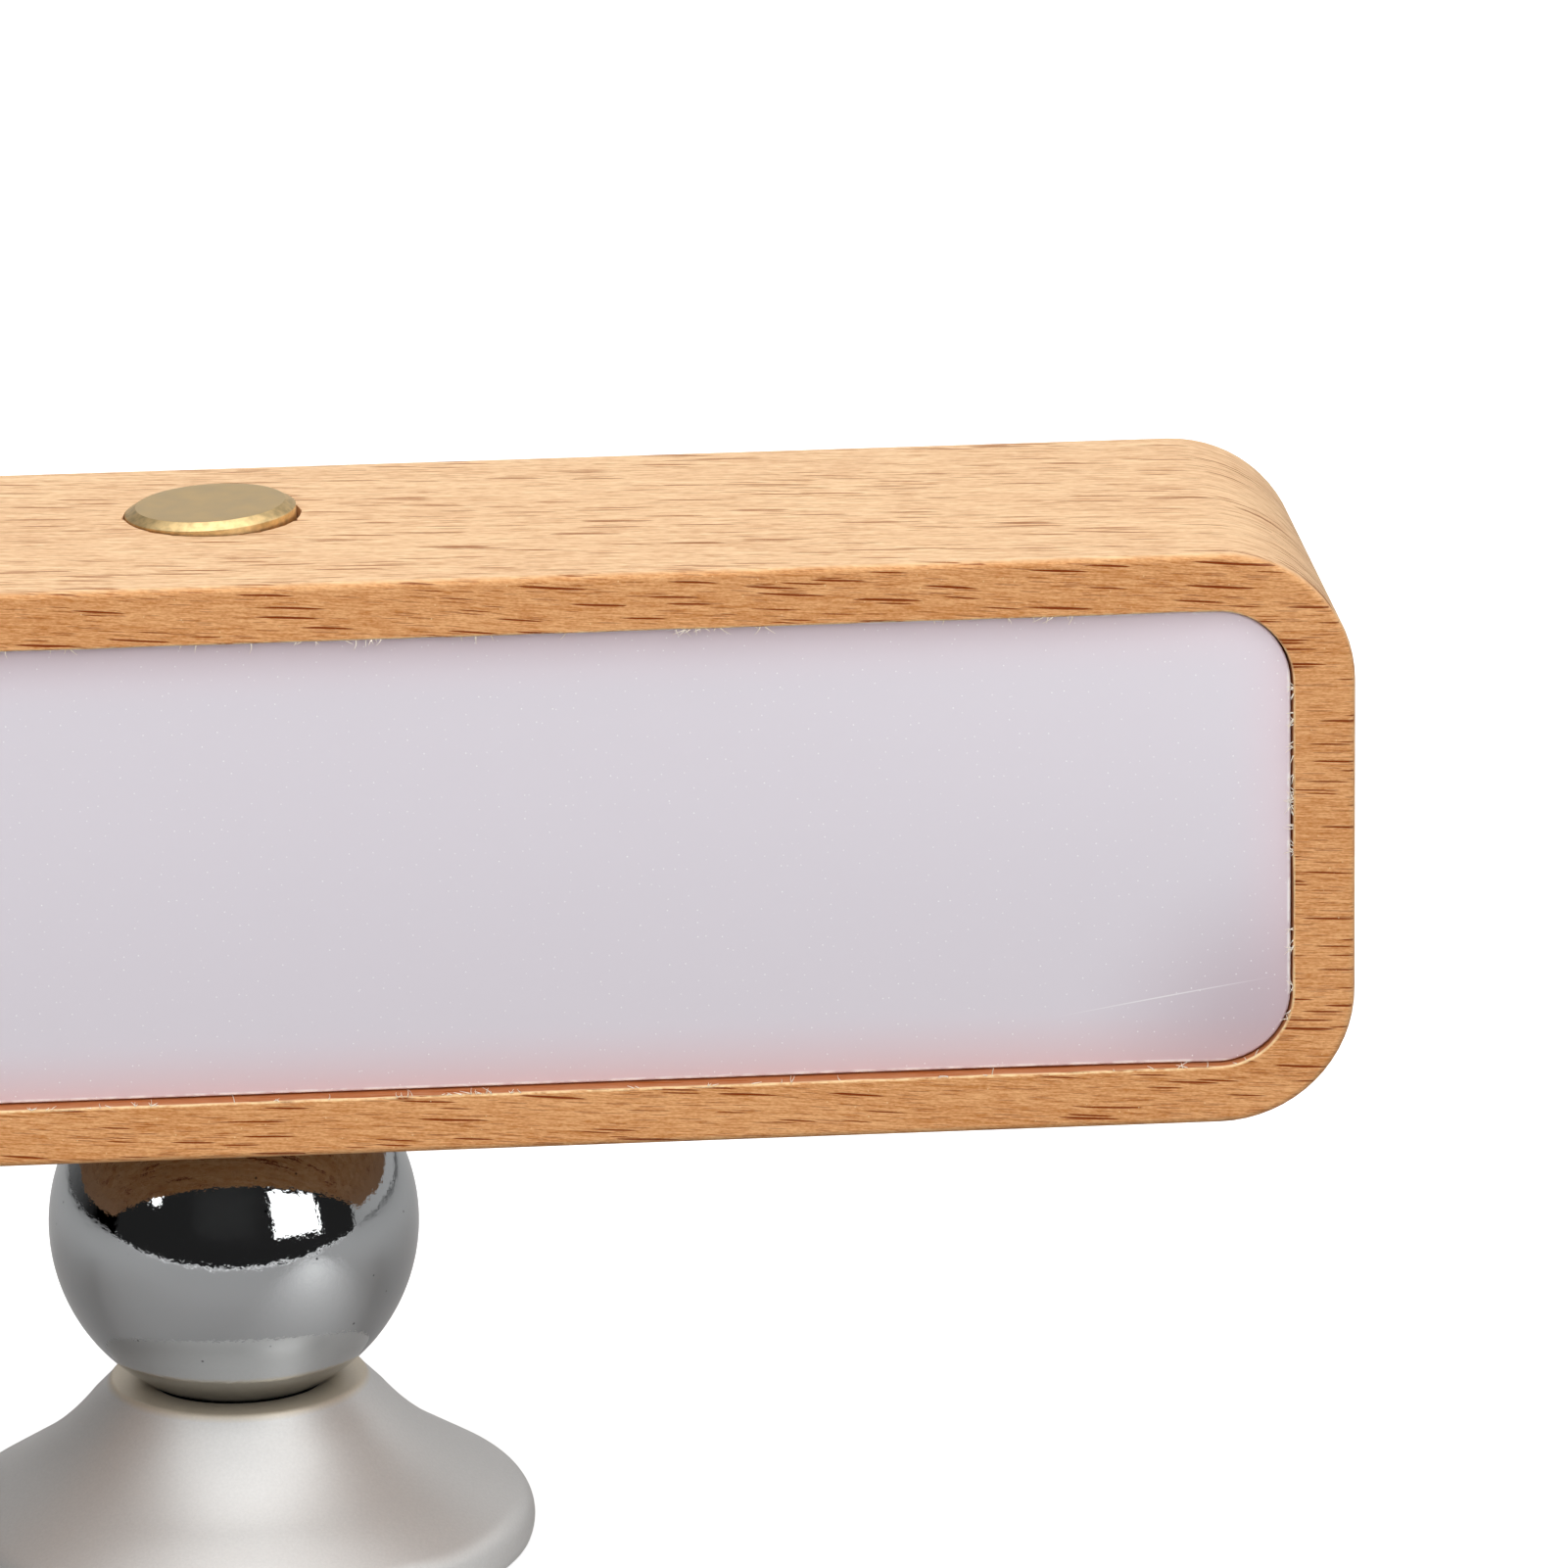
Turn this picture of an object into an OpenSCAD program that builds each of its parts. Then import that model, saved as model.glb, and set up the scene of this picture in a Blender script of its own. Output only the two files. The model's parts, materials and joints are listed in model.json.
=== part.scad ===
// Rechargeable wall sconce: a hollowed beech light bar that a magnet holds on a steel ball,
// over a bell-shaped metal base that stands on a table or goes on a wall.
// Millimetres, +Z up, X along the bar, the light window towards -Y.
// The origin is the middle of the base's underside.

/* [Ball joint] */
// Diameter of the polished steel ball
ball_d = 32; // [30:0.5:34]
// How deep the ball sits below the base's lip
base_sink = 2; // [1.5:0.25:2.5]
// How deep the ball's top sits in the bar's underside
bar_sink = 4; // [3.5:0.25:4.5]
// Gap between the ball and each of its seats
seat_gap = 0.3; // [0.2:0.05:0.4]

/* [Base] */
// Largest diameter of the bell
base_d = 51; // [49:0.5:58]
// Height of the lip over the surface that the base stands on
base_h = 15; // [14:0.5:18]
// Outer diameter of the flat lip round the ball
lip_d = 22.6; // [21.5:0.2:23.4]
// Thickness of the lip over the rubber seat
lip_t = 0.8; // [0.6:0.1:1]
// Diameter of the hole in the lip, below its dished edge
lip_bore_d = 15; // [14.6:0.1:15.4]
// Diameter of the neck where it turns into the shoulder
neck_d = 32; // [30:0.5:34]
// Height of the neck below the lip
neck_h = 5.6; // [5:0.1:6]
// Radius of the hollow bend between neck and shoulder
neck_bend_r = 16; // [10:1:18]
// Radius of the bell's rounded edge
edge_r = 3.2; // [2.5:0.1:3.6]
// Height of the bell's widest ring over its rim
edge_z = 1.3; // [1:0.1:1.6]
// Gap between the bell's rim and the surface
rim_up = 0.3; // [0.1:0.05:0.5]
// Thickness of the foam pad under the wall plate
pad_t = 1.2; // [0.8:0.1:1.6]
// Diameter of the steel wall plate
plate_d = 44; // [42:0.5:45]
// Thickness of the steel wall plate
plate_t = 2; // [1.5:0.1:2.5]
// How far the foam pad stays inside the wall plate's edge
pad_inset = 0.5; // [0.3:0.1:1.5]
// Distance between the two wall screw holes
wall_hole_pitch = 28; // [27:0.5:32]
// Diameter of the wall screw holes
wall_hole_d = 4.2; // [3.5:0.1:4.5]
// Diameter of the countersink over each wall screw hole
wall_sink_d = 7; // [6:0.1:7.4]
// Width of the step inside the bell that the wall plate seats on
plate_step = 2; // [1.5:0.1:2.5]
// Height of the hollow over the wall plate, at its outer part
hollow_h = 1.8; // [1.5:0.1:2]
// Diameter of the taller middle of the hollow, for the wall screws' heads
core_hollow_d = 27; // [25.5:0.5:28]
// Height of that middle part over the wall plate
core_hollow_h = 6; // [4.5:0.1:6.2]

/* [Base magnet] */
// Outer diameter of the steel pot round the base magnet
pot_d = 17.4; // [16.5:0.1:17.8]
// Wall and floor of the pot
pot_t = 0.9; // [0.6:0.1:1.2]
// Thickness of the base magnet
base_magnet_t = 5.6; // [4:0.1:6]
// Gap between the pot and what it turns in
swivel_gap = 0.3; // [0.2:0.05:0.35]
// Gap between the rubber seat and the lip over it
seat_drop = 0.1; // [0.05:0.05:0.2]

/* [Bar] */
// Length of the beech bar
bar_l = 190; // [186:1:240]
// Height of the bar
bar_h = 50; // [49:0.5:56]
// Depth of the bar, from the window to the back
bar_d = 40; // [38:0.5:48]
// Radius of the bar's four corners, seen from the front
bar_corner_r = 11.5; // [10:0.5:13]
// Width of the top and bottom rails at the window
rail_t = 5; // [4.5:0.1:5.5]
// Width of the end rails at the window
end_rail_t = 5.3; // [4.5:0.1:6]
// Thickness of the bar's back
back_t = 5; // [4.5:0.1:5.5]
// Width of the ledge that the diffuser rests on
ledge_w = 1.5; // [1:0.1:2]

/* [Diffuser] */
// Thickness of the frosted acrylic
panel_t = 2.5; // [2:0.1:3]
// How far the acrylic lies behind the bar's front
panel_recess = 2; // [0.5:0.1:2.5]
// Gap between the acrylic and the window's edge
panel_gap = 0.2; // [0.1:0.05:0.3]

/* [Bar's ball seat] */
// Outer diameter of the turned seat in the bar's underside
holder_d = 24; // [23.5:0.5:26]
// How far the seat's edge stays inside the bar's underside
holder_inset = 0.2; // [0.1:0.05:0.4]
// Length of the seat's flange, along the bar
flange_l = 44; // [42:1:50]
// Width of the seat's flange
flange_w = 14; // [10:1:18]
// Thickness of the seat's flange
flange_t = 1.5; // [1.2:0.1:2.5]
// Distance between the two screws in the flange
flange_screw_pitch = 34; // [33:0.5:35]
// Diameter of the bar's magnet
bar_magnet_d = 16; // [14:0.5:18]
// Thickness of the bar's magnet
bar_magnet_t = 3; // [2:0.1:4]
// Metal between the ball's seat and the magnet
magnet_web = 0.6; // [0.4:0.1:1]
// Wall round the magnet
magnet_wall = 1.5; // [1:0.1:2]

/* [Button] */
// Diameter of the brass button
button_d = 14.9; // [13:0.1:16]
// How far the button stands over the bar
button_proud = 1.5; // [1.2:0.1:2]
// Height of the bevel round the button's top
button_bevel = 1.2; // [0.6:0.1:1.2]
// Width of the bevel round the button's top
button_bevel_w = 0.8; // [0.5:0.1:1.2]
// Distance of the button's middle from the bar's back
button_back = 16; // [15:0.5:18]
// How far the button goes down
button_travel = 0.8; // [0.5:0.1:1]
// Gap round the button in its hole
button_gap = 0.3; // [0.2:0.05:0.4]
// Width of the flange that keeps the button in its hole
button_flange_w = 2; // [1:0.1:2.5]
// Thickness of that flange
button_flange_t = 1.2; // [0.8:0.1:1.6]
// Gap between that flange and the wood over it
button_rest_gap = 0.1; // [0.05:0.05:0.2]

/* [Switch] */
// Width of the square push switch
switch_w = 6; // [5:0.1:6.5]
// Height of the push switch's body
switch_h = 3.1; // [3:0.1:4]
// Diameter of the push switch's plunger
plunger_d = 3.5; // [3:0.1:4]
// Height of the plunger over the switch's body
plunger_h = 1.2; // [1.1:0.1:1.8]
// Length of the plunger inside the switch's body
plunger_in = 0.7; // [0.5:0.1:0.9]
// Gap round the plunger in the switch's body
plunger_gap = 0.08; // [0.05:0.01:0.1]

/* [Light board] */
// Gap between the light board and each end of the bar's hollow
led_end_gap = 5; // [3:0.5:8]
// Gap between the light board and the hollow's floor and ceiling
led_side_gap = 2; // [1:0.1:2.5]
// Thickness of the light board
led_board_t = 1.2; // [0.8:0.1:1.6]
// Light chips along the board
led_columns = 14; // [8:1:18]
// Rows of light chips
led_rows = 2; // [1:1:3]
// Width of one light chip
led_w = 3.5; // [2.5:0.1:4]
// Height of one light chip
led_h = 2.8; // [2:0.1:3.5]
// Thickness of one light chip
led_t = 0.8; // [0.6:0.1:1]
// Gap between the light board and what lies behind it, the battery cell or the control board
led_board_gap = 1; // [0.6:0.1:1.5]
// Gap round the ball seat in the light board's notch
led_notch_gap = 0.6; // [0.4:0.1:1]
// Gap between the outermost light chips and the light board's screws
led_screw_gap = 1; // [0.5:0.1:3]
// Distance of the light board's screws from its edges
led_screw_inset = 5; // [4.5:0.5:6]
// Outer diameter of the light board's spacers
led_spacer_d = 6; // [5.5:0.1:7]

/* [Battery] */
// Diameter of the battery cell
cell_d = 18.4; // [18:0.1:18.6]
// Length of the battery cell
cell_l = 65; // [60:0.5:70]
// Gap round the cell in its holder
cell_gap = 0.1; // [0.05:0.05:0.2]
// Thickness of the holder's walls
holder_wall = 1.2; // [1:0.1:1.8]
// Thickness of the holder's floor
holder_floor = 1.2; // [1:0.1:1.6]
// Length of the holder's fixing ears
holder_ear = 7; // [6.5:0.5:9]
// Thickness of the contact plate at each end of the cell
contact_t = 0.5; // [0.3:0.1:0.8]
// Width of the contact plates
contact_w = 8; // [6:0.5:10]
// Gap between the holder and the screw heads over it
holder_gap = 0.5; // [0.4:0.1:1]

/* [Control board] */
// Length of the control board
board_l = 48; // [46:0.5:54]
// Depth of the control board
board_w = 19; // [18.5:0.1:19.2]
// Thickness of the control board
board_t = 1.6; // [1.2:0.1:1.8]
// Gap between the control board and the bar's back
board_back_gap = 0.5; // [0.3:0.1:0.6]
// Distance of the control board's screws from its front and back edges
board_screw_inset = 3.5; // [3.2:0.1:3.8]
// Distance of the control board's screws from its ends
board_screw_end = 7; // [6.5:0.1:7.5]
// Outer diameter of the control board's spacers
board_spacer_d = 5; // [4.6:0.1:5.5]

/* [Pieces on the control board] */
// Length of the light board's plug block
plug_l = 6; // [5:0.5:7]
// Depth of the plug block
plug_w = 5; // [4:0.1:5.5]
// Height of the plug block
plug_h = 3; // [2.4:0.1:3.2]
// Distance of the plug block from the board's middle
plug_x = 9; // [8:0.5:11]
// Diameter of the coil
coil_d = 5; // [4:0.1:6]
// Height of the coil
coil_h = 3; // [2:0.1:3.2]
// Distance of the coil from the board's middle
coil_x = 11; // [9:0.5:12]
// Width of the square charging chip
chip_w = 4; // [3:0.1:5]
// Height of the charging chip
chip_h = 1; // [0.8:0.1:1.2]
// Distance of the charging chip from the board's middle
chip_x = 11; // [9:0.5:12]
// Length of each lead terminal
terminal_l = 2.5; // [2:0.1:3]
// Width of each lead terminal
terminal_w = 3; // [2:0.1:3.2]
// Height of each lead terminal
terminal_h = 2.4; // [2:0.1:3]

/* [Charging socket] */
// Width of the charging socket
socket_w = 9; // [8.8:0.1:9.4]
// Height of the charging socket
socket_h = 3.2; // [3.1:0.1:3.5]
// Length of the charging socket
socket_l = 7.4; // [7:0.1:8]
// Sheet thickness of the charging socket
socket_t = 0.3; // [0.2:0.05:0.4]
// Thickness of the socket's closed end
socket_end_t = 1; // [0.6:0.1:1.4]
// Gap round the charging socket in the bar's back
socket_gap = 0.15; // [0.1:0.05:0.25]
// Width of the contact tongue in the socket
tongue_w = 6.7; // [6:0.1:7]
// Thickness of the contact tongue
tongue_t = 0.7; // [0.6:0.1:0.8]
// Length of the contact tongue
tongue_l = 4.5; // [4:0.1:5]
// Width of the recess for the charging plug
plug_recess_w = 12.6; // [12:0.1:14]
// Height of the recess for the charging plug
plug_recess_h = 7; // [6.5:0.1:7.5]
// Wood left between that recess and the bar's hollow
plug_recess_web = 1.5; // [1.2:0.1:2]
// Diameter of the charge lamp
lamp_d = 2.5; // [2:0.1:3]
// Distance of the charge lamp from the socket's middle
lamp_x = 12; // [11:0.5:14]
// How far the charge lamp reaches in past the bar's back
lamp_in = 2; // [1:0.5:3]

/* [Small screws and leads] */
// Shank diameter of the small screws
screw_d = 2.5; // [2:0.1:2.8]
// Head diameter of the small screws
screw_head_d = 4.5; // [4:0.1:5]
// Head height of the small screws
screw_head_h = 1.6; // [1.2:0.1:1.8]
// Width of the cross slot in the small screws' heads
screw_slot_w = 0.7; // [0.5:0.1:0.9]
// Length of that cross slot
screw_slot_l = 2.7; // [2:0.1:3.2]
// Depth of that cross slot
screw_slot_h = 0.8; // [0.5:0.1:1]
// How deep the small screws bite into the wood
screw_bite = 3.5; // [3:0.1:4]
// Outer diameter of the leads
lead_d = 1.4; // [1:0.1:1.6]
// Bend radius of the battery leads
lead_bend_r = 2; // [1.5:0.1:2.2]
// Gap between the battery leads and the holder
lead_gap = 0.5; // [0.3:0.1:0.8]
// Distance between the two leads to the light board
led_lead_pitch = 2; // [1.6:0.1:3]

/* [Fits] */
// Gap round what is pressed, screwed or glued in place
fit_gap = 0.05; // [0.03:0.01:0.08]
// Room left past the tip of a screw or plunger
tip_gap = 0.3; // [0.2:0.05:0.4]

/* [Hidden] */
$fn = 96;
beech = "#E0AC73";
// A cut runs this far past the faces that it opens
cut = 1;
// Steps along the bell's rounded edge, and along the bend at its neck
edge_steps = 20;
bend_steps = 8;

// Heights of the ball, the lip and the bar
ball_r = ball_d / 2;
seat_r = ball_r + seat_gap;
ball_z = base_h - base_sink + ball_r;
bar_z = ball_z + ball_r - bar_sink;
bar_top = bar_z + bar_h;
bar_mid = bar_z + bar_h / 2;

// Base
base_r = base_d / 2;
plate_z = pad_t;
plate_top = plate_z + plate_t;
plate_recess_r = plate_d / 2 + fit_gap;
pot_r = pot_d / 2;
pot_z = plate_top + swivel_gap;
base_magnet_z = pot_z + pot_t;
pot_top = base_magnet_z + base_magnet_t;
lip_z = base_h - lip_t;
seat_top = lip_z - seat_drop;

// The bar's hollow
window_l = bar_l - 2 * end_rail_t;
window_h = bar_h - 2 * rail_t;
window_r = bar_corner_r - rail_t;
pocket_l = window_l - 2 * ledge_w;
pocket_h = window_h - 2 * ledge_w;
pocket_r = window_r - ledge_w;
front_y = -bar_d / 2;
panel_y = front_y + panel_recess;
ledge_y = panel_y + panel_t;
back_y = bar_d / 2 - back_t;
floor_z = bar_z + rail_t + ledge_w;
ceiling_z = bar_top - rail_t - ledge_w;

// The bar's ball seat
bar_magnet_z = ball_z + seat_r + magnet_web;
bar_magnet_top = bar_magnet_z + bar_magnet_t;

// Button, switch and control board, hung from the wood over them
button_r = button_d / 2;
button_y = bar_d / 2 - button_back;
button_top = bar_top + button_proud;
button_flange_top = ceiling_z - button_rest_gap;
button_flange_z = button_flange_top - button_flange_t;
switch_z = button_flange_z - plunger_h - switch_h;
plunger_z = switch_z + switch_h - plunger_in;
plunger_bore_z = plunger_z - button_travel - tip_gap;
board_top = switch_z;
board_z = board_top - board_t;
board_back_y = back_y - board_back_gap;
board_front_y = board_back_y - board_w;
board_mid_y = board_back_y - board_w / 2;
board_screw_x = board_l / 2 - board_screw_end;
board_screw_y = board_w / 2 - board_screw_inset;

// Battery
cell_r = cell_d / 2;
cell_y = back_y - holder_floor - cell_gap - cell_r;
holder_half = cell_r + cell_gap + holder_wall;
cell_z = board_z - screw_head_h - holder_gap - holder_half;
contact_x = cell_l / 2;
end_wall_x = contact_x + contact_t;
holder_end_x = end_wall_x + holder_wall;
ear_x = holder_end_x + holder_ear;
ear_screw_x = holder_end_x + holder_ear / 2;

// Light board
led_board_l = pocket_l - 2 * led_end_gap;
led_board_h = pocket_h - 2 * led_side_gap;
led_board_back = min(cell_y - cell_r, board_front_y) - led_board_gap;
led_board_front = led_board_back - led_board_t;
led_screw_x = led_board_l / 2 - led_screw_inset;
led_screw_z = led_board_h / 2 - led_screw_inset;
led_span = 2 * (led_screw_x - screw_head_d / 2 - led_screw_gap) - led_w;
led_pitch_x = led_span / (led_columns - 1);
led_pitch_z = led_board_h / led_rows;
led_notch_w = bar_magnet_d + 2 * magnet_wall + 2 * led_notch_gap;

// Charging socket
socket_mid_z = board_top + socket_h / 2;
socket_mouth = back_y + plug_recess_web;
socket_back = socket_mouth - socket_l;
tongue_y = socket_back + socket_end_t;

// Leads, and the terminals and plug that they run to
terminal_x = board_l / 2 - terminal_l / 2;
lead_x = contact_x + contact_t / 2;
lead_y = cell_y - lead_gap - lead_d / 2;
lead_z = board_top + terminal_h / 2;
contact_top = cell_z + cell_r;
led_lead_z = board_top + plug_h / 2;

// Points along an arc, in degrees
function arc(centre, r, from, to, steps) =
    [for (i = [0:steps]) let (a = from + (to - from) * i / steps) centre + r * [cos(a), sin(a)]];

// A rectangle with round corners, about its middle
module round_rect(w, h, r) {
    square([w - 2 * r, h], center = true);
    square([w, h - 2 * r], center = true);
    for (x = [-1, 1], y = [-1, 1])
        translate([x * (w / 2 - r), y * (h / 2 - r)])
            circle(r);
}

// A slot with round ends, about its middle
module slot(w, h) {
    square([w - h, h], center = true);
    for (x = [-1, 1])
        translate([x * (w - h) / 2, 0])
            circle(h / 2);
}

// Stands an outline up in the XZ plane at height z, and runs it back from y
module stand_up(y, depth, z) {
    translate([0, y + depth, z])
        rotate([90, 0, 0])
            linear_extrude(depth)
                children();
}

// Turns what points up so that it points back
module point_back() {
    rotate([-90, 0, 0])
        children();
}

// A pan-head screw, its shank up from the origin and its head below
module small_screw(shank_l) {
    cylinder(d = screw_d, h = shank_l);
    difference() {
        translate([0, 0, -screw_head_h])
            cylinder(d = screw_head_d, h = screw_head_h);
        for (turn = [0, 90])
            rotate(turn)
                translate([0, 0, -screw_head_h])
                    cube([screw_slot_l, screw_slot_w, 2 * screw_slot_h], center = true);
    }
}

// The pilot hole for a small screw, up from the origin
module screw_pilot() {
    translate([0, 0, -cut])
        cylinder(d = screw_d + 2 * fit_gap, h = screw_bite + tip_gap + cut);
}

// A spacer tube for a small screw
module spacer(d, l) {
    difference() {
        cylinder(d = d, h = l);
        translate([0, 0, -cut])
            cylinder(d = screw_d + 2 * fit_gap, h = l + 2 * cut);
    }
}

// Places of the control board's screws
module at_board_screws() {
    for (x = [-1, 1], y = [-1, 1])
        translate([x * board_screw_x, board_mid_y + y * board_screw_y, 0])
            children();
}

// Places of the light board's screws
module at_led_screws() {
    for (x = [-1, 1], z = [-1, 1])
        translate([x * led_screw_x, 0, bar_mid + z * led_screw_z])
            children();
}

// Places of the battery holder's screws
module at_holder_screws() {
    for (x = [-1, 1])
        translate([x * ear_screw_x, 0, cell_z])
            children();
}

// Places of the ball seat's screws
module at_seat_screws() {
    for (x = [-1, 1])
        translate([x * flange_screw_pitch / 2, 0, 0])
            children();
}

// The bell's outline, from the middle of its underside round to the middle of its lip
module bell_outline() {
    edge = [base_r - edge_r, rim_up + edge_z];
    neck = [neck_d / 2, base_h - neck_h];
    lip = [lip_d / 2, base_h];
    reach = norm(edge - neck);
    slope = atan2(edge.y - neck.y, edge.x - neck.x) + asin(edge_r / reach);
    rise = atan2(lip.y - neck.y, lip.x - neck.x);
    bend = 180 - (rise - slope);
    bend_in = neck_bend_r * tan(bend / 2);
    bend_from = neck + bend_in * [cos(slope), sin(slope)];
    bend_mid = bend_from + neck_bend_r * [-sin(slope), cos(slope)];
    polygon(concat(
        [[0, rim_up]],
        arc(edge, edge_r, -asin(edge_z / edge_r), slope + 90, edge_steps),
        arc(bend_mid, neck_bend_r, slope - 90, slope - 90 - bend, bend_steps),
        [lip, [0, base_h]]
    ));
}

// Turned bell: carries the magnet, hides the wall plate, and its lip is dished to the ball
module base_shell() {
    color("#C9C7C4")
        difference() {
            rotate_extrude()
                bell_outline();
            cylinder(r = plate_recess_r, h = plate_top);
            cylinder(r = plate_recess_r - plate_step, h = plate_top + hollow_h);
            cylinder(d = core_hollow_d, h = plate_top + core_hollow_h);
            cylinder(r = pot_r + swivel_gap, h = lip_z);
            cylinder(d = lip_bore_d, h = base_h);
            translate([0, 0, ball_z])
                sphere(r = seat_r);
        }
}

// Steel plate that is screwed or stuck to a wall, and that the base's magnet holds
module wall_plate() {
    color("#8C8F92")
        difference() {
            translate([0, 0, plate_z])
                cylinder(d = plate_d, h = plate_t);
            for (x = [-1, 1])
                translate([x * wall_hole_pitch / 2, 0, plate_z]) {
                    translate([0, 0, -cut])
                        cylinder(d = wall_hole_d, h = plate_t + 2 * cut);
                    translate([0, 0, plate_t - (wall_sink_d - wall_hole_d) / 2])
                        cylinder(d1 = wall_hole_d, d2 = wall_sink_d, h = (wall_sink_d - wall_hole_d) / 2);
                }
        }
}

// Foam pad that the base stands on
module foam_pad() {
    color("#2E2E30")
        difference() {
            cylinder(d = plate_d - 2 * pad_inset, h = pad_t);
            for (x = [-1, 1])
                translate([x * wall_hole_pitch / 2, 0, -cut])
                    cylinder(d = wall_hole_d, h = pad_t + 2 * cut);
        }
}

// Steel pot round the base's magnet
module magnet_pot() {
    color("#9A9DA0")
        difference() {
            translate([0, 0, pot_z])
                cylinder(r = pot_r, h = pot_top - pot_z);
            translate([0, 0, base_magnet_z])
                cylinder(r = pot_r - pot_t, h = base_magnet_t + cut);
        }
}

// Disc magnet in the base
module base_magnet() {
    color("#B9BABC")
        translate([0, 0, base_magnet_z])
            cylinder(r = pot_r - pot_t - fit_gap, h = base_magnet_t);
}

// Rubber dish that the ball turns in
module rubber_seat() {
    color("#262626")
        difference() {
            translate([0, 0, pot_top])
                cylinder(r = pot_r, h = seat_top - pot_top);
            translate([0, 0, ball_z])
                sphere(r = seat_r);
        }
}

// Polished steel ball
module steel_ball() {
    color("#D5D7D9")
        translate([0, 0, ball_z])
            sphere(r = ball_r);
}

// Beech block, hollowed from the front, with its back left whole
module wood_body() {
    color(beech)
        difference() {
            stand_up(front_y, bar_d, bar_mid)
                round_rect(bar_l, bar_h, bar_corner_r);
            stand_up(front_y - cut, ledge_y - front_y + cut, bar_mid)
                round_rect(window_l, window_h, window_r);
            stand_up(front_y - cut, back_y - front_y + cut, bar_mid)
                round_rect(pocket_l, pocket_h, pocket_r);
            translate([0, button_y, ceiling_z - cut])
                cylinder(r = button_r + button_gap, h = bar_h);
            translate([0, 0, bar_z - cut])
                cylinder(d = holder_d + 2 * fit_gap, h = floor_z - bar_z + 2 * cut);
            stand_up(back_y - cut, back_t, socket_mid_z)
                slot(socket_w + 2 * socket_gap, socket_h + 2 * socket_gap);
            stand_up(socket_mouth, back_t, socket_mid_z)
                slot(plug_recess_w, plug_recess_h);
            translate([lamp_x, back_y - cut, socket_mid_z])
                point_back()
                    cylinder(d = lamp_d + 2 * fit_gap, h = back_t + 2 * cut);
            at_board_screws()
                translate([0, 0, ceiling_z])
                    screw_pilot();
            at_seat_screws()
                translate([0, 0, floor_z])
                    mirror([0, 0, 1])
                        screw_pilot();
            at_led_screws()
                translate([0, back_y, 0])
                    point_back()
                        screw_pilot();
            at_holder_screws()
                translate([0, back_y, 0])
                    point_back()
                        screw_pilot();
        }
}

// Frosted acrylic window
module diffuser() {
    color("#DAD3DC")
        stand_up(panel_y, panel_t, bar_mid)
            round_rect(window_l - 2 * panel_gap, window_h - 2 * panel_gap, window_r - panel_gap);
}

// Turned and flanged seat in the bar's underside, which holds the bar's magnet over the ball
module ball_seat() {
    color("#B5B6B8")
        difference() {
            union() {
                translate([0, 0, bar_z + holder_inset])
                    cylinder(d = holder_d, h = floor_z + flange_t - bar_z - holder_inset);
                translate([0, 0, floor_z])
                    linear_extrude(flange_t)
                        slot(flange_l, flange_w);
                translate([0, 0, floor_z])
                    cylinder(d = bar_magnet_d + 2 * magnet_wall, h = bar_magnet_top - floor_z);
            }
            translate([0, 0, ball_z])
                sphere(r = seat_r);
            translate([0, 0, bar_magnet_z])
                cylinder(d = bar_magnet_d + 2 * fit_gap, h = bar_magnet_t + cut);
            at_seat_screws()
                translate([0, 0, floor_z - cut])
                    cylinder(d = screw_d + 2 * fit_gap, h = flange_t + 2 * cut);
        }
}

// Disc magnet in the bar
module bar_magnet() {
    color("#B9BABC")
        translate([0, 0, bar_magnet_z])
            cylinder(d = bar_magnet_d, h = bar_magnet_t);
}

// Screws of the ball seat
module seat_screws() {
    color("#77797C")
        at_seat_screws()
            translate([0, 0, floor_z + flange_t])
                mirror([0, 0, 1])
                    small_screw(flange_t + screw_bite);
}

// Brass push button with a bevelled top and a flange that keeps it in its hole
module button_cap() {
    color("#C9B07A")
        translate([0, button_y, 0]) {
            translate([0, 0, button_flange_z])
                cylinder(r = button_r + button_flange_w, h = button_flange_t);
            translate([0, 0, button_flange_z])
                cylinder(r = button_r, h = button_top - button_bevel - button_flange_z);
            translate([0, 0, button_top - button_bevel])
                cylinder(r1 = button_r, r2 = button_r - button_bevel_w, h = button_bevel);
        }
}

// Plunger of the push switch, which goes down with the button
module switch_plunger() {
    color("#3A3A3C")
        translate([0, button_y, plunger_z])
            cylinder(d = plunger_d, h = button_flange_z - plunger_z);
}

// Body of the push switch on the control board
module push_switch() {
    color("#1F1F21")
        difference() {
            translate([-switch_w / 2, button_y - switch_w / 2, switch_z])
                cube([switch_w, switch_w, switch_h]);
            translate([0, button_y, plunger_bore_z])
                cylinder(d = plunger_d + 2 * plunger_gap, h = switch_h);
        }
}

// White circuit board that carries the light chips
module led_board() {
    color("#F2F2EE")
        difference() {
            translate([-led_board_l / 2, led_board_front, bar_mid - led_board_h / 2])
                cube([led_board_l, led_board_t, led_board_h]);
            translate([-led_notch_w / 2, led_board_front - cut, floor_z])
                cube([led_notch_w, led_board_t + 2 * cut, bar_magnet_top + led_notch_gap - floor_z]);
            at_led_screws()
                translate([0, led_board_front - cut, 0])
                    point_back()
                        cylinder(d = screw_d + 2 * fit_gap, h = led_board_t + 2 * cut);
        }
}

// Light chips, in rows on the light board
module led_chips() {
    color("#F4D96B")
        for (i = [0:led_columns - 1], j = [0:led_rows - 1])
            translate([
                (i - (led_columns - 1) / 2) * led_pitch_x - led_w / 2,
                led_board_front - led_t,
                bar_mid + (j - (led_rows - 1) / 2) * led_pitch_z - led_h / 2
            ])
                cube([led_w, led_t, led_h]);
}

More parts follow.
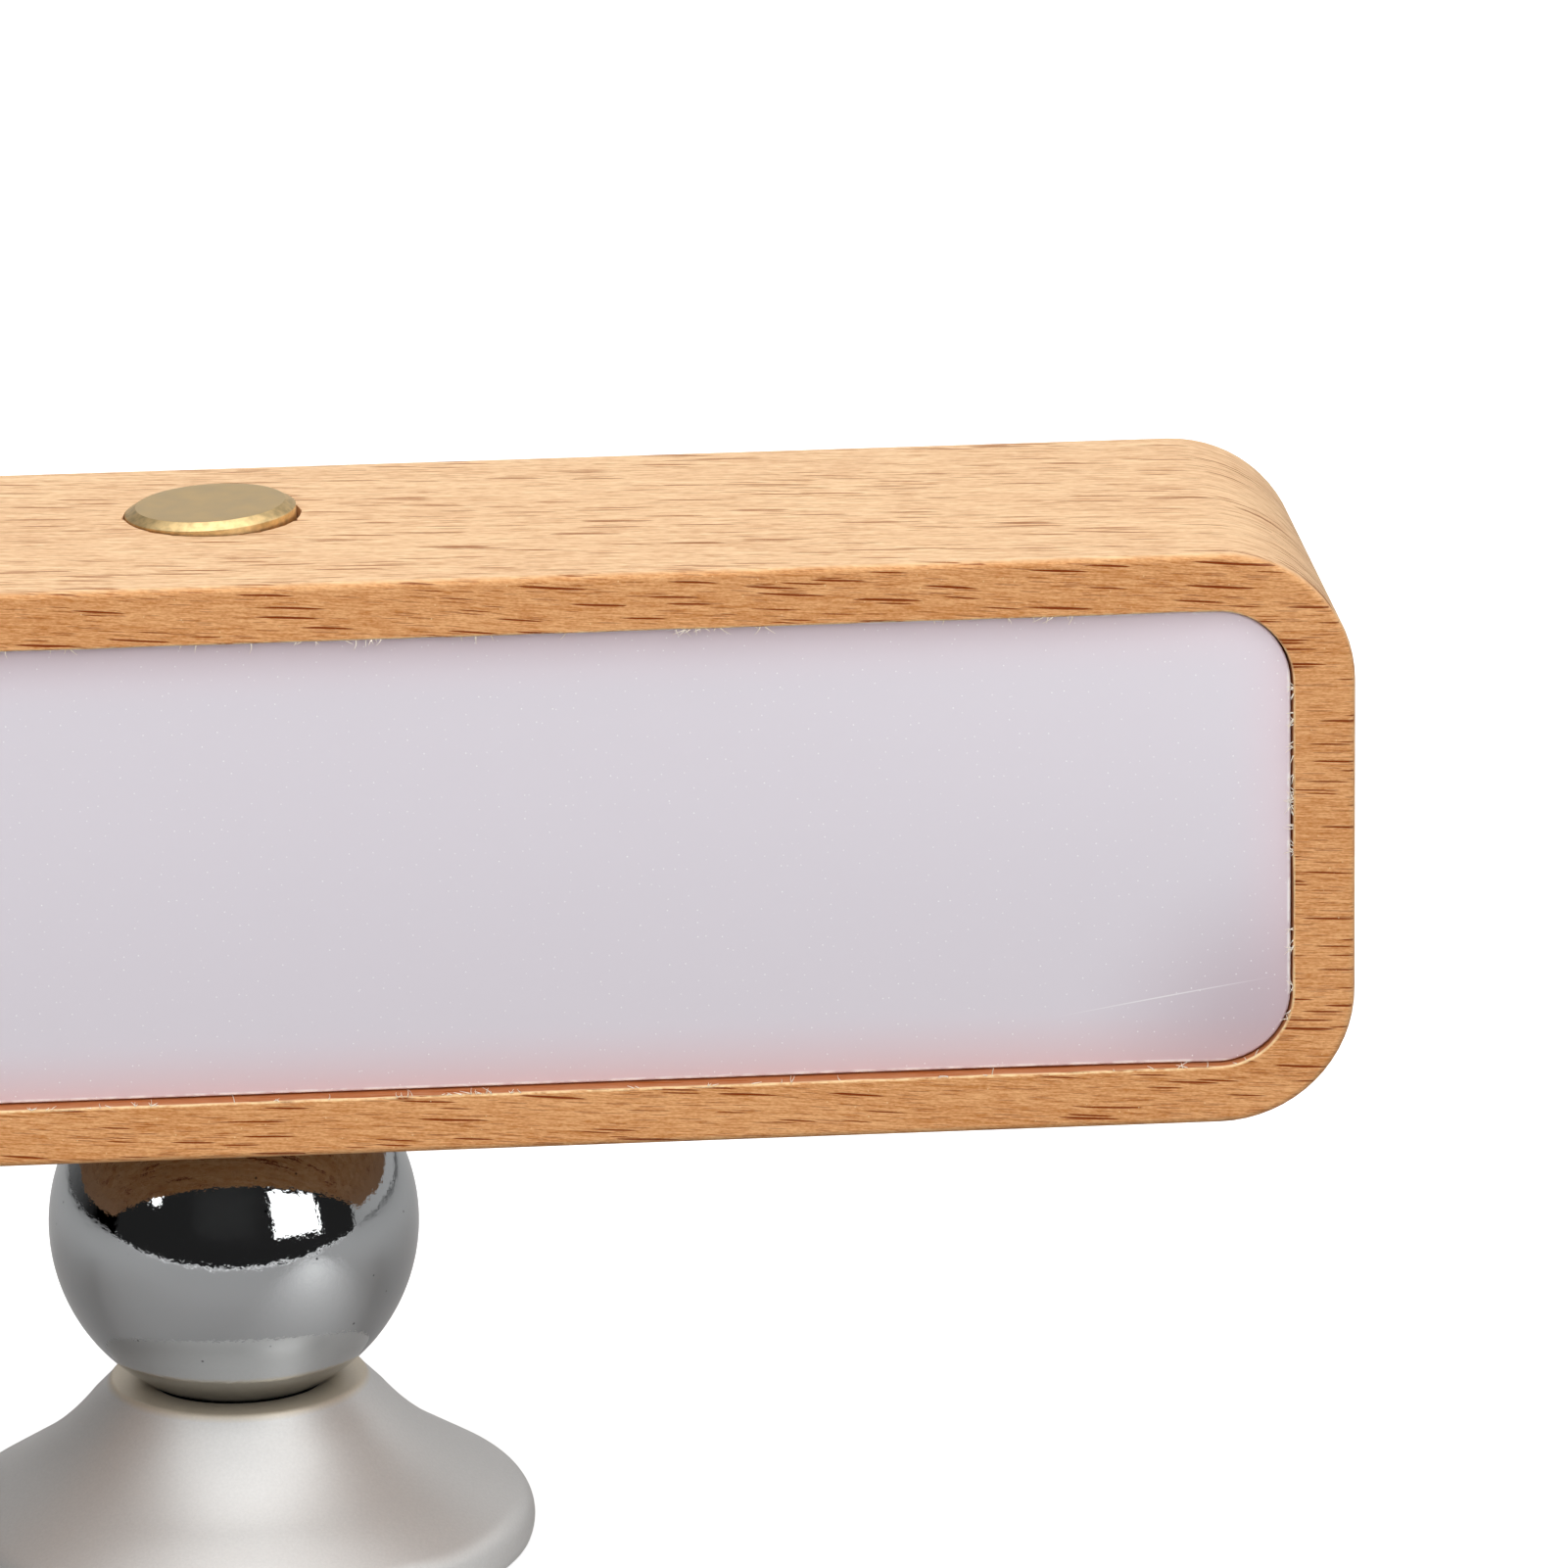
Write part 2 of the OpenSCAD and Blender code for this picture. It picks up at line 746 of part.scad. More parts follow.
// Nylon spacers between the bar's back and the light board
module led_spacers() {
    color("#E9E7E0")
        at_led_screws()
            translate([0, led_board_back, 0])
                point_back()
                    spacer(led_spacer_d, back_y - led_board_back);
}

// Screws of the light board
module led_screws() {
    color("#77797C")
        at_led_screws()
            translate([0, led_board_front, 0])
                point_back()
                    small_screw(back_y - led_board_front + screw_bite);
}

// Cradle for the battery cell, with an ear at each end
module battery_holder() {
    color("#2A2A2D") {
        difference() {
            translate([-ear_x, back_y - holder_floor, cell_z - holder_half])
                cube([2 * ear_x, holder_floor, 2 * holder_half]);
            at_holder_screws()
                translate([0, back_y - holder_floor - cut, 0])
                    point_back()
                        cylinder(d = screw_d + 2 * fit_gap, h = holder_floor + 2 * cut);
        }
        for (side = [-1, 1]) {
            translate([side * (end_wall_x + holder_wall / 2), (cell_y + back_y) / 2, cell_z])
                cube([holder_wall, back_y - cell_y, 2 * holder_half], center = true);
            translate([0, (cell_y + back_y) / 2, cell_z + side * (holder_half - holder_wall / 2)])
                cube([2 * end_wall_x, back_y - cell_y, holder_wall], center = true);
        }
    }
}

// Rechargeable cell
module battery_cell() {
    color("#2F6FA8")
        translate([-cell_l / 2, cell_y, cell_z])
            rotate([0, 90, 0])
                cylinder(r = cell_r, h = cell_l);
}

// Spring-steel contact plate at each end of the cell
module battery_contacts() {
    color("#C8C4B4")
        for (side = [-1, 1])
            translate([side * lead_x, cell_y, cell_z])
                cube([contact_t, contact_w, 2 * cell_r], center = true);
}

// Screws of the battery holder
module holder_screws() {
    color("#77797C")
        at_holder_screws()
            translate([0, back_y - holder_floor, 0])
                point_back()
                    small_screw(holder_floor + screw_bite);
}

// Circuit board for charging and switching, under the top rail
module control_board() {
    color("#1E6B3C")
        difference() {
            translate([-board_l / 2, board_front_y, board_z])
                cube([board_l, board_w, board_t]);
            at_board_screws()
                translate([0, 0, board_z - cut])
                    cylinder(d = screw_d + 2 * fit_gap, h = board_t + 2 * cut);
        }
}

// Plug block, coil, charging chip and lead terminals on the control board
module board_parts() {
    color("#3C3C40") {
        translate([plug_x - plug_l / 2, board_front_y, board_top])
            cube([plug_l, plug_w, plug_h]);
        translate([-coil_x, button_y, board_top])
            cylinder(d = coil_d, h = coil_h);
        translate([chip_x - chip_w / 2, button_y - chip_w / 2, board_top])
            cube([chip_w, chip_w, chip_h]);
        for (side = [-1, 1])
            translate([side * terminal_x, lead_y, lead_z])
                cube([terminal_l, terminal_w, terminal_h], center = true);
    }
}

// Nylon spacers between the top rail and the control board
module board_spacers() {
    color("#E9E7E0")
        at_board_screws()
            translate([0, 0, board_top])
                spacer(board_spacer_d, ceiling_z - board_top);
}

// Screws of the control board
module board_screws() {
    color("#77797C")
        at_board_screws()
            translate([0, 0, board_z])
                small_screw(ceiling_z - board_z + screw_bite);
}

// Shell of the charging socket, its mouth to the back
module charging_socket() {
    color("#C4C6C8")
        difference() {
            stand_up(socket_back, socket_l, socket_mid_z)
                slot(socket_w, socket_h);
            stand_up(tongue_y, socket_l, socket_mid_z)
                slot(socket_w - 2 * socket_t, socket_h - 2 * socket_t);
        }
}

// Contact tongue inside the charging socket
module socket_tongue() {
    color("#1B1B1C")
        translate([-tongue_w / 2, tongue_y, socket_mid_z - tongue_t / 2])
            cube([tongue_w, tongue_l, tongue_t]);
}

// Clear rod that shows the charge at the back
module charge_lamp() {
    color("#EEF2F4")
        translate([lamp_x, back_y - lamp_in, socket_mid_z])
            point_back()
                cylinder(d = lamp_d, h = back_t + lamp_in);
}

// Leads from the battery's contacts up and in to the control board's terminals
module battery_leads() {
    color("#B02A2A")
        for (side = [0, 1])
            mirror([side, 0, 0])
                translate([0, lead_y, 0]) {
                    translate([lead_x, 0, contact_top])
                        cylinder(d = lead_d, h = lead_z - lead_bend_r - contact_top);
                    translate([lead_x - lead_bend_r, 0, lead_z - lead_bend_r])
                        rotate([90, 0, 0])
                            rotate_extrude(angle = 90)
                                translate([lead_bend_r, 0])
                                    circle(d = lead_d);
                    translate([board_l / 2, 0, lead_z])
                        rotate([0, 90, 0])
                            cylinder(d = lead_d, h = lead_x - lead_bend_r - board_l / 2);
                }
}

// Short leads from the control board's plug to the light board
module led_leads() {
    color("#B02A2A")
        for (side = [-1, 1])
            translate([plug_x + side * led_lead_pitch / 2, led_board_back, led_lead_z])
                point_back()
                    cylinder(d = lead_d, h = board_front_y - led_board_back);
}

base_shell();
wall_plate();
foam_pad();
magnet_pot();
base_magnet();
rubber_seat();
steel_ball();
wood_body();
diffuser();
ball_seat();
bar_magnet();
seat_screws();
button_cap();
switch_plunger();
push_switch();
led_board();
led_chips();
led_spacers();
led_screws();
battery_holder();
battery_cell();
battery_contacts();
holder_screws();
control_board();
board_parts();
board_spacers();
board_screws();
charging_socket();
socket_tongue();
charge_lamp();
battery_leads();
led_leads();
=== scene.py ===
"""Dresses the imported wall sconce: a beech bar with a milky window and a brass button, on a steel ball over a satin
base."""
import functools
import json
import math
import random

import bmesh
import bpy
from bpy.props import FloatProperty, FloatVectorProperty, PointerProperty
from mathutils import Matrix, Vector, noise


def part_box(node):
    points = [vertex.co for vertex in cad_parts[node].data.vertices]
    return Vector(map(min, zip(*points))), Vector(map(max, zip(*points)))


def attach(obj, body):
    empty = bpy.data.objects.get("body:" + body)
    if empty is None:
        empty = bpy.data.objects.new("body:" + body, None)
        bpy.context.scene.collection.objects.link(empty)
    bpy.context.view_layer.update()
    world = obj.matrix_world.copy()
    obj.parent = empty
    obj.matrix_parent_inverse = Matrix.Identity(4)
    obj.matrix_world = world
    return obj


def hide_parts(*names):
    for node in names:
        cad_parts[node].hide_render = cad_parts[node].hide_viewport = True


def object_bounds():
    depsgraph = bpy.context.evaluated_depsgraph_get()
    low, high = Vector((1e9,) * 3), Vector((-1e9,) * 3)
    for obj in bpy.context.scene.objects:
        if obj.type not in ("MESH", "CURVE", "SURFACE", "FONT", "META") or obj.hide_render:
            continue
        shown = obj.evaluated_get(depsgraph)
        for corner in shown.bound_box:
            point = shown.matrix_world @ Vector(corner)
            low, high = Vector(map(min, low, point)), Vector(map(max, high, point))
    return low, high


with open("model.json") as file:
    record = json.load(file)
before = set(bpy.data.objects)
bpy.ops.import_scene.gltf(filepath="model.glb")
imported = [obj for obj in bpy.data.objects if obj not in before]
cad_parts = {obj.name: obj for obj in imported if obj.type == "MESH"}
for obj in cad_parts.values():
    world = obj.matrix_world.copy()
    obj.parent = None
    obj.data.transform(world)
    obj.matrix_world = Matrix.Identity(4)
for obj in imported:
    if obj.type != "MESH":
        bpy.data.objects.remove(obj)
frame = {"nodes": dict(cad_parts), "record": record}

bl_info = {
    "name": "Wooden wall sconce",
    "version": (1, 0, 0),
    "blender": (4, 5, 0),
    "location": "View3D > Sidebar > Sconce",
    "description": "Models the looks of a rechargeable wall sconce round its packed frame",
    "category": "Object",
}

MM = 0.001
CAD_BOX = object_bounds()
# Degrees from which an edge shows as sharp: on wood and acrylic, on turned metal, and never
SHARP, TURNED_SHARP, ALL_SMOOTH = 40, 30, 180

# Places that the frame gives
BAR_LOW, BAR_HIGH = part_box("wood_body")
PANEL_LOW, PANEL_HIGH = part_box("diffuser")
BASE_LOW, BASE_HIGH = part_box("base_shell")
PLATE_LOW, PLATE_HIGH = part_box("wall_plate")
BALL_LOW, BALL_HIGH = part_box("steel_ball")
BUTTON_LOW, BUTTON_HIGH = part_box("button_cap")
POT_LOW, POT_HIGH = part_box("magnet_pot")
SOCKET_LOW, SOCKET_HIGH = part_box("charging_socket")
LAMP_LOW, LAMP_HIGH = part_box("charge_lamp")
BAR_MID = (BAR_LOW + BAR_HIGH) / 2
BALL_MID = (BALL_LOW + BALL_HIGH) / 2
BUTTON_MID = (BUTTON_LOW + BUTTON_HIGH) / 2


def linear(hex_colour):
    """An sRGB hex colour as linear red, green, blue and alpha."""
    parts = [int(hex_colour[i:i + 2], 16) / 255 for i in (1, 3, 5)]
    return tuple(c / 12.92 if c <= 0.04045 else ((c + 0.055) / 1.055) ** 2.4 for c in parts) + (1.0,)


def size(name, description, millimetres):
    """A length that a user may change."""
    return FloatProperty(name=name, description=description, default=millimetres * MM, unit="LENGTH", precision=5)


def colour(name, description, hex_colour):
    """A colour that a user may change."""
    return FloatVectorProperty(name=name, description=description, size=4, subtype="COLOR",
                               default=linear(hex_colour), min=0.0, max=1.0)


def angle(name, description, degrees):
    """An angle that a user may change."""
    return FloatProperty(name=name, description=description, default=math.radians(degrees), unit="ROTATION")


class BarSizes(bpy.types.PropertyGroup):
    """Sizes of the beech bar and its window."""
    corner: size("Corner", "Radius of the bar's four corners, seen from the front", 11.5)
    rail: size("Rail", "Width of the top and bottom rails at the window", 5.0)
    end_rail: size("End rail", "Width of the end rails at the window", 5.3)
    back: size("Back", "Thickness of the bar's back", 5.0)
    ledge: size("Ledge", "Width of the ledge behind the window", 1.5)
    arris: size("Arris", "Radius of the sanded outer edges", 0.65)
    window_arris: size("Window arris", "Radius of the sanded edge round the window", 0.2)
    ragged: size("Ragged", "How far the cut edges stray from a true line", 0.05)
    hole_gap: size("Hole gap", "Gap round the button in its hole", 0.25)
    hole_chip: size("Hole chip", "Width of the chips in the hole's edge", 0.7)
    hole_chip_drop: size("Hole chip drop", "How far down the chips reach", 0.4)
    bore: size("Bore", "Radius of the bore that the ball seat sits in", 12.05)
    bore_depth: size("Bore depth", "Depth of that bore", 10.0)
    bore_bevel: size("Bore bevel", "Bevel round that bore", 0.5)
    plug_width: size("Plug width", "Width of the charging recess", 12.6)
    plug_height: size("Plug height", "Height of the charging recess", 7.0)
    socket_gap: size("Socket gap", "Gap round the charging socket", 0.15)
    lamp_gap: size("Lamp gap", "Gap round the charge lamp", 0.05)
    fibre: size("Fibre", "Thickness of the torn fibres along the window's edge", 0.1)
    panel_corner: size("Window corner", "How much smaller the window's corner radius is than its opening's", 0.1)
    panel_edge: size("Window edge", "Radius of the window's polished edge", 0.25)
    panel_forward: size("Window forward", "How far the window's face stands before the frame's", 0.36)
    panel_bow: size("Window bow", "How much further forward its ends are", 1.05)
    panel_swell: size("Window swell", "How far the window's edge swells into the gap round it", 0.06)


class BaseSizes(bpy.types.PropertyGroup):
    """Sizes of the turned base."""
    lip: size("Lip", "Radius of the flat lip round the ball", 11.3)
    lip_t: size("Lip thickness", "Thickness of the lip over the rubber seat", 0.8)
    lip_bore: size("Lip bore", "Radius of the hole in the lip, below its dished edge", 7.5)
    seat_gap: size("Seat gap", "Gap between the ball and the dished lip", 0.16)
    neck: size("Neck", "Radius of the neck where it turns into the shoulder", 15.8)
    neck_drop: size("Neck drop", "Height of the neck below the lip", 5.6)
    neck_bend: size("Neck bend", "Radius of the hollow bend between neck and shoulder", 26.0)
    edge: size("Edge", "Radius of the rounded edge", 3.2)
    edge_rise: size("Edge rise", "Height of the widest ring over the rim", 1.3)
    lip_round: size("Lip round", "Radius of the lip's broken edges", 0.5)
    plate_gap: size("Plate gap", "Gap round the wall plate", 0.05)
    pot_gap: size("Pot gap", "Gap round the magnet's pot", 0.3)
    step: size("Step", "Width of the step that the wall plate seats on", 2.0)
    hollow: size("Hollow", "Height of the hollow over the wall plate", 1.8)
    core_radius: size("Core radius", "Radius of the taller middle of the hollow", 13.5)
    core: size("Core", "Height of that middle over the wall plate", 6.0)


class ButtonSizes(bpy.types.PropertyGroup):
    """Sizes of the brass button."""
    radius: size("Radius", "Radius of the button", 7.3)
    bevel: size("Bevel", "Height of the bevel round the top", 0.62)
    bevel_width: size("Bevel width", "Width of the bevel round the top", 0.9)
    edge: size("Edge", "Radius of the button's broken edges", 0.1)
    flange: size("Flange", "Thickness of the flange that keeps it in its hole", 1.2)
    sunk: size("Sunk", "How far the top has sunk in its hole", 0.2)
    lean: angle("Lean", "How far the top leans in its hole", 2.5)
    left: size("Left", "How far it sits to the left in its hole", 0.15)
    behind: size("Behind", "How far it sits to the back of its hole", 0.12)


class Finishes(bpy.types.PropertyGroup):
    """Colours of the surfaces that show."""
    beech_pale: colour("Pale beech", "Early wood", "#E8B07A")
    beech_deep: colour("Deep beech", "Late wood", "#C27F47")
    beech_fleck: colour("Beech fleck", "Ray flecks and open pores", "#7D3007")
    # Fleck colour on the top, painted paler as if lit more brightly
    beech_lit_top_fleck: colour("Beech fleck, lit top", "Flecks on the top, painted paler as if lit", "#8E4A10")
    beech_arris: colour("Beech arris", "Sanded edges", "#F6DDAA")
    # Painted light: the colour that faces looking up take, as if lit more brightly
    beech_lit_top: colour("Beech top", "Top painted paler as if lit more brightly", "#F4E2BE")
    # Painted shade: the darker colour of the window's wall in its recess
    beech_recess_shade: colour("Shaded beech", "Window's wall, painted darker with the shade of its recess", "#A64A00")
    milky: colour("Milky acrylic", "Middle of the window", "#DAD4DC")
    # Painted shade, tinted by the wood's bounce light, along the window's edges
    milky_edge_shade: colour("Milky edge", "Edge of the window, painted with shade tinted by the wood's bounce light", "#E0D0D8")
    # Painted shade, tinted by the wood's bounce light, along the window's lower edge
    milky_low_bounce: colour("Milky lower edge", "Lower edge of the window, painted with shade tinted by the wood's bounce light", "#D2A9A6")
    # Painted shade, tinted by the wood's bounce light, in the window's lower corners
    milky_corner_shade: colour("Milky corner", "Lower corners of the window, painted with shade tinted by the wood", "#B9A3AB")
    chrome: colour("Chrome", "Mirror of the ball", "#C0C2C3")
    aluminium: colour("Aluminium", "Bead-blasted base", "#E6E5E3")
    # Painted reflection: the warmer tone of the lip, reflecting the wood above it
    lip_reflection_tint: colour("Lip tint", "Lip of the base, painted with the wood bar's reflection", "#E4D8C4")
    brass: colour("Brass", "Turned button", "#DEC08A")


class StageLayout(bpy.types.PropertyGroup):
    """Camera and light."""
    aim: FloatVectorProperty(name="Aim", description="Point that the camera looks at", subtype="XYZ", unit="LENGTH",
                             default=(46.74 * MM, -20.0 * MM, 72.31 * MM))
    distance: size("Distance", "Distance of the camera from that point", 870.1)
    turn: angle("Turn", "How far the camera is turned towards the bar's right end", 4.2)
    tilt: angle("Tilt", "How far the camera looks down", 16.18)
    roll: angle("Roll", "How far the camera is rolled", 0.8)
    lens: FloatProperty(name="Lens", description="Focal length on a 36 mm sensor", default=238.46, unit="CAMERA")
    floor: size("Floor", "Width of the floor", 8000.0)


def add(tree, kind, inputs=(), **settings):
    """Adds a node and gives its outputs. Settings are its own properties, and inputs gives its sockets values or other
    nodes' outputs. Math's sockets are 0 to 2. Map Range has its value at 0, its range at 1 and 2, and the range that
    it gives at 3 and 4. Mix has its factor at 0, numbers at 2 and 3, vectors at 4 and 5 and colours at 6 and 7, and
    gives these at 0, 1 and 2."""
    node = tree.nodes.new("ShaderNode" + kind)
    for key, value in settings.items():
        setattr(node, key, value)
    for socket, value in dict(inputs).items():
        if isinstance(value, bpy.types.NodeSocket):
            tree.links.new(value, node.inputs[socket])
        else:
            node.inputs[socket].default_value = value
    return node.outputs


def blank(owner):
    """Empties the node tree of a material or world, and gives the function that adds nodes to it."""
    owner.use_nodes = True
    owner.node_tree.nodes.clear()
    return functools.partial(add, owner.node_tree)


# Mesh helpers

def outline(half_w, half_h, radius, corner_steps, side_steps, end_steps):
    """Points (x, z) round a rectangle with round corners, about its middle, from its right end over the top."""
    flat_x, flat_z = half_w - radius, half_h - radius
    top = [(half_w, flat_z * i / end_steps) for i in range(end_steps)]
    for i in range(corner_steps + 1):
        a = math.pi / 2 * i / corner_steps
        top.append((flat_x + radius * math.cos(a), flat_z + radius * math.sin(a)))
    top += [(flat_x * (1 - 2 * i / side_steps), half_h) for i in range(1, side_steps)]
    right = top[:end_steps + corner_steps + 1]
    top += [(-x, z) for x, z in reversed(right)]
    bottom = [(x, -z) for x, z in reversed(top) if z > 0]
    return top + bottom


def loft(mesh_builder, rings):
    """Joins rings of as many points with four-sided faces, and returns the rings' vertices."""
    rows = [[mesh_builder.verts.new(p) for p in ring] for ring in rings]
    for low, high in zip(rows, rows[1:]):
        for i in range(len(low)):
            j = (i + 1) % len(low)
            mesh_builder.faces.new((low[i], low[j], high[j], high[i]))
    return rows


def tube(mesh_builder, rings):
    """Joins rings, closes both ends and returns the rings' vertices."""
    rows = loft(mesh_builder, rings)
    for end in (rows[0], rows[-1]):
        mesh_builder.faces.new(end)
    return rows


def lathe(mesh_builder, profile, segments, closed):
    """Turns a profile of (radius, height) round Z. Points on the axis are merged."""
    steps = [2 * math.pi * i / segments for i in range(segments)]
    rings = [[Vector((r * math.cos(a), r * math.sin(a), z)) for a in steps] for r, z in profile]
    if closed:
        rings.append(rings[0])
    loft(mesh_builder, rings)
    bmesh.ops.remove_doubles(mesh_builder, verts=mesh_builder.verts, dist=1e-3 * MM)


def arc(centre, radius, start, end, steps):
    """Points along an arc, in radians."""
    return [(centre[0] + radius * math.cos(start + (end - start) * i / steps),
             centre[1] + radius * math.sin(start + (end - start) * i / steps)) for i in range(steps + 1)]


def piece(name, mesh_builder, material, body, sharp_degrees=SHARP):
    """Makes a smooth-shaded object of a built mesh, which rides on a body."""
    bmesh.ops.recalc_face_normals(mesh_builder, faces=mesh_builder.faces)
    mesh = bpy.data.meshes.new(name)
    mesh_builder.to_mesh(mesh)
    mesh_builder.free()
    mesh.shade_smooth()
    mesh.set_sharp_from_angle(angle=math.radians(sharp_degrees))
    mesh.materials.append(material)
    made = bpy.data.objects.new(name, mesh)
    bpy.context.scene.collection.objects.link(made)
    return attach(made, body)


def cut(made, cutters):
    """Cuts closed meshes out of a piece for good."""
    for cutter in cutters:
        cutter_mesh = bpy.data.meshes.new("cutter")
        bmesh.ops.recalc_face_normals(cutter, faces=cutter.faces)
        cutter.to_mesh(cutter_mesh)
        cutter.free()
        tool = bpy.data.objects.new("cutter", cutter_mesh)
        bpy.context.scene.collection.objects.link(tool)
        step = made.modifiers.new("cut", "BOOLEAN")
        step.object = tool
        step.solver = "EXACT"
        bpy.context.view_layer.update()
        result = bpy.data.meshes.new_from_object(made.evaluated_get(bpy.context.evaluated_depsgraph_get()))
        made.modifiers.remove(step)
        made.data = result
        bpy.data.objects.remove(tool)


# Materials

def beech(colours):
    """Beech, sanded and oiled: warm brown with thin dark ray flecks along the grain, painted paler on the faces that
    look up as if lit more brightly there, and painted darker on the window's wall as shade in its recess."""
    material = bpy.data.materials.new("beech, sanded and oiled")
    node = blank(material)
    spots = node("TexCoord")
    place = spots["Object"]
    facing = node("SeparateXYZ", {"Vector": spots["Normal"]})
    along = node("SeparateXYZ", {"Vector": place})["X"]
    # The grain runs a little forward and down to the right, and wanders from its line
    lie = node("VectorMath", {0: along, 1: (0.0, 0.1, 0.07), 2: place}, operation="MULTIPLY_ADD")
    sway = node("TexNoise", {"Vector": place, "Scale": 1 / (28 * MM), "Detail": 1.0})
    drift = node("VectorMath", {0: sway["Color"], 1: (0.0, 1.6 * MM, 1.6 * MM), 2: lie[0]},
                 operation="MULTIPLY_ADD")[0]
    # The top and the ends show the flecks wider and further apart than the front does. The fibres there are too fine
    # for the low angle that they are seen at, so they are drawn coarser
    turned = node("SeparateXYZ", {"Vector": drift})
    on_front = node("CombineXYZ", {"X": turned["X"], "Y": turned["Z"], "Z": turned["Y"]})[0]
    upright = node("Math", {0: facing["Y"]}, operation="ABSOLUTE")[0]
    front = node("Math", {0: upright, 1: 0.7}, operation="GREATER_THAN")[0]
    grains = []
    for stretch in ((1.0, 0.7, 0.35), (0.42, 0.36, 0.35)):
        on_top = node("VectorMath", {0: drift, 1: stretch}, operation="MULTIPLY")[0]
        grains.append(node("Mix", {0: front, 4: on_top, 5: on_front}, data_type="VECTOR")[1])
    ray_grain, fibre_grain = grains
    # Length, thickness and depth of the cells that hold one fleck each, with the share of cells that stay empty on
    # the top and on the front
    rays = []
    for sizes, top_empty, front_empty in (((7 * MM, 0.26 * MM, 3 * MM), 0.5, 0.5),
                                          ((3 * MM, 0.17 * MM, 2 * MM), 0.35, 0.3)):
        empty = node("MapRange", {0: front, 3: top_empty, 4: front_empty})[0]
        spot = node("Mapping", {"Vector": ray_grain, "Scale": sizes}, vector_type="TEXTURE")
        cells = node("TexVoronoi", {"Vector": spot[0], "Scale": 1.0})
        reach = node("MapRange", {0: cells["Color"], 1: empty, 2: 0.85, 3: 0.05, 4: 0.46})
        depth = node("Math", {0: reach[0], 1: cells["Distance"]}, operation="SUBTRACT")
        rays.append(node("MapRange", {0: depth[0], 1: -0.01, 2: 0.05})[0])
    # Length, thickness and depth of the pores, the fibres, the streaks and the bands between the flecks, with the
    # weight of each. Real pores and fibres are about half as thick, too fine to show
    shade, fibre = 0.0, None
    for sizes, weight in (((0.4 * MM, 0.12 * MM, 0.3 * MM), 1.5), ((2.2 * MM, 0.13 * MM, 0.8 * MM), 2.0),
                          ((14 * MM, 0.4 * MM, 2 * MM), 0.6), ((80 * MM, 4 * MM, 9 * MM), 0.5)):
        spot = node("Mapping", {"Vector": fibre_grain, "Scale": sizes}, vector_type="TEXTURE")
        drawn = node("TexNoise", {"Vector": spot[0], "Scale": 1.0, "Detail": 2.0})["Fac"]
        shade = node("Math", {0: drawn, 1: weight, 2: shade}, operation="MULTIPLY_ADD")[0]
        fibre = fibre or drawn
    deep = node("MapRange", {0: shade, 1: 1.82, 2: 2.78})[0]
    streaked = node("Mix", {0: deep, 6: colours.beech_pale, 7: colours.beech_deep}, data_type="RGBA")
    # Faces that look up are painted paler, as if lit more brightly, the pale wood more than the deep
    upward = node("MapRange", {0: facing["Z"], 1: -0.4, 2: 0.4})[0]
    level = node("MapRange", {0: upright, 1: 0.85, 2: 0.3})[0]
    lit_top_face = node("Math", {0: upward, 1: level}, operation="MULTIPLY")[0]
    fade = node("MapRange", {0: deep, 3: 0.48, 4: 0.31})[0]
    painted_top_light = node("Math", {0: lit_top_face, 1: fade}, operation="MULTIPLY")[0]
    lit_top_colour = node("Mix", {0: painted_top_light, 6: streaked[2], 7: colours.beech_lit_top}, data_type="RGBA")
    # Flecks, fainter and painted paler on the faces painted as lit from above
    brown = node("Mix", {0: lit_top_face, 6: colours.beech_fleck, 7: colours.beech_lit_top_fleck}, data_type="RGBA")[2]
    drawn_in = lit_top_colour[2]
    for ray, on_front_weight, on_top_weight in ((rays[1], 0.45, 0.36), (rays[0], 0.95, 0.84)):
        weight = node("MapRange", {0: lit_top_face, 3: on_front_weight, 4: on_top_weight})[0]
        amount = node("Math", {0: ray, 1: weight}, operation="MULTIPLY")[0]
        drawn_in = node("Mix", {0: amount, 6: drawn_in, 7: brown}, data_type="RGBA")[2]
    # Pale dust sits in some of the pores
    pores = node("TexVoronoi", {"Vector": place, "Scale": 1 / (0.8 * MM)})
    specks = node("MapRange", {0: pores["Distance"], 1: 0.11, 2: 0.05})[0]
    filled = node("MapRange", {0: pores["Color"], 1: 0.4, 2: 1.0, 3: 0.0, 4: 0.6})[0]
    dust = node("Math", {0: specks, 1: filled}, operation="MULTIPLY")[0]
    # The window's wall is painted darker, as painted shade in its recess, and sanding leaves the arrises paler, in
    # patches
    painted_recess_shade = node("Attribute", attribute_name="recess_shade")["Fac"]
    rubbed = node("Attribute", attribute_name="arris")["Fac"]
    patch = node("TexNoise", {"Vector": place, "Scale": 1 / (0.7 * MM), "Detail": 3.0})
    patchy = node("MapRange", {0: patch["Fac"], 1: 0.3, 2: 0.6})[0]
    worn = node("Math", {0: rubbed, 1: patchy}, operation="MULTIPLY")[0]
    for amount, tone in ((dust, colours.beech_arris), (painted_recess_shade, colours.beech_recess_shade), (worn, colours.beech_arris)):
        drawn_in = node("Mix", {0: amount, 6: drawn_in, 7: tone}, data_type="RGBA")[2]
    rough = node("MapRange", {0: fibre, 3: 0.44, 4: 0.6})[0]
    grooves = node("Math", {0: fibre, 1: 0.5, 2: rays[0]}, operation="MULTIPLY_ADD")
    bump = node("Bump", {"Strength": 0.5, "Distance": 0.05 * MM, "Height": grooves[0]}, invert=True)
    # Fine fibres that stand up after sanding catch the light at a low angle
    shader = node("BsdfPrincipled", {
        "Base Color": drawn_in, "Roughness": rough, "Normal": bump[0], "IOR": 1.45,
        "Specular IOR Level": 0.06, "Sheen Weight": 0.04, "Sheen Roughness": 0.35, "Sheen Tint": linear("#FFE9C8")})
    node("OutputMaterial", {"Surface": shader[0]})
    return material


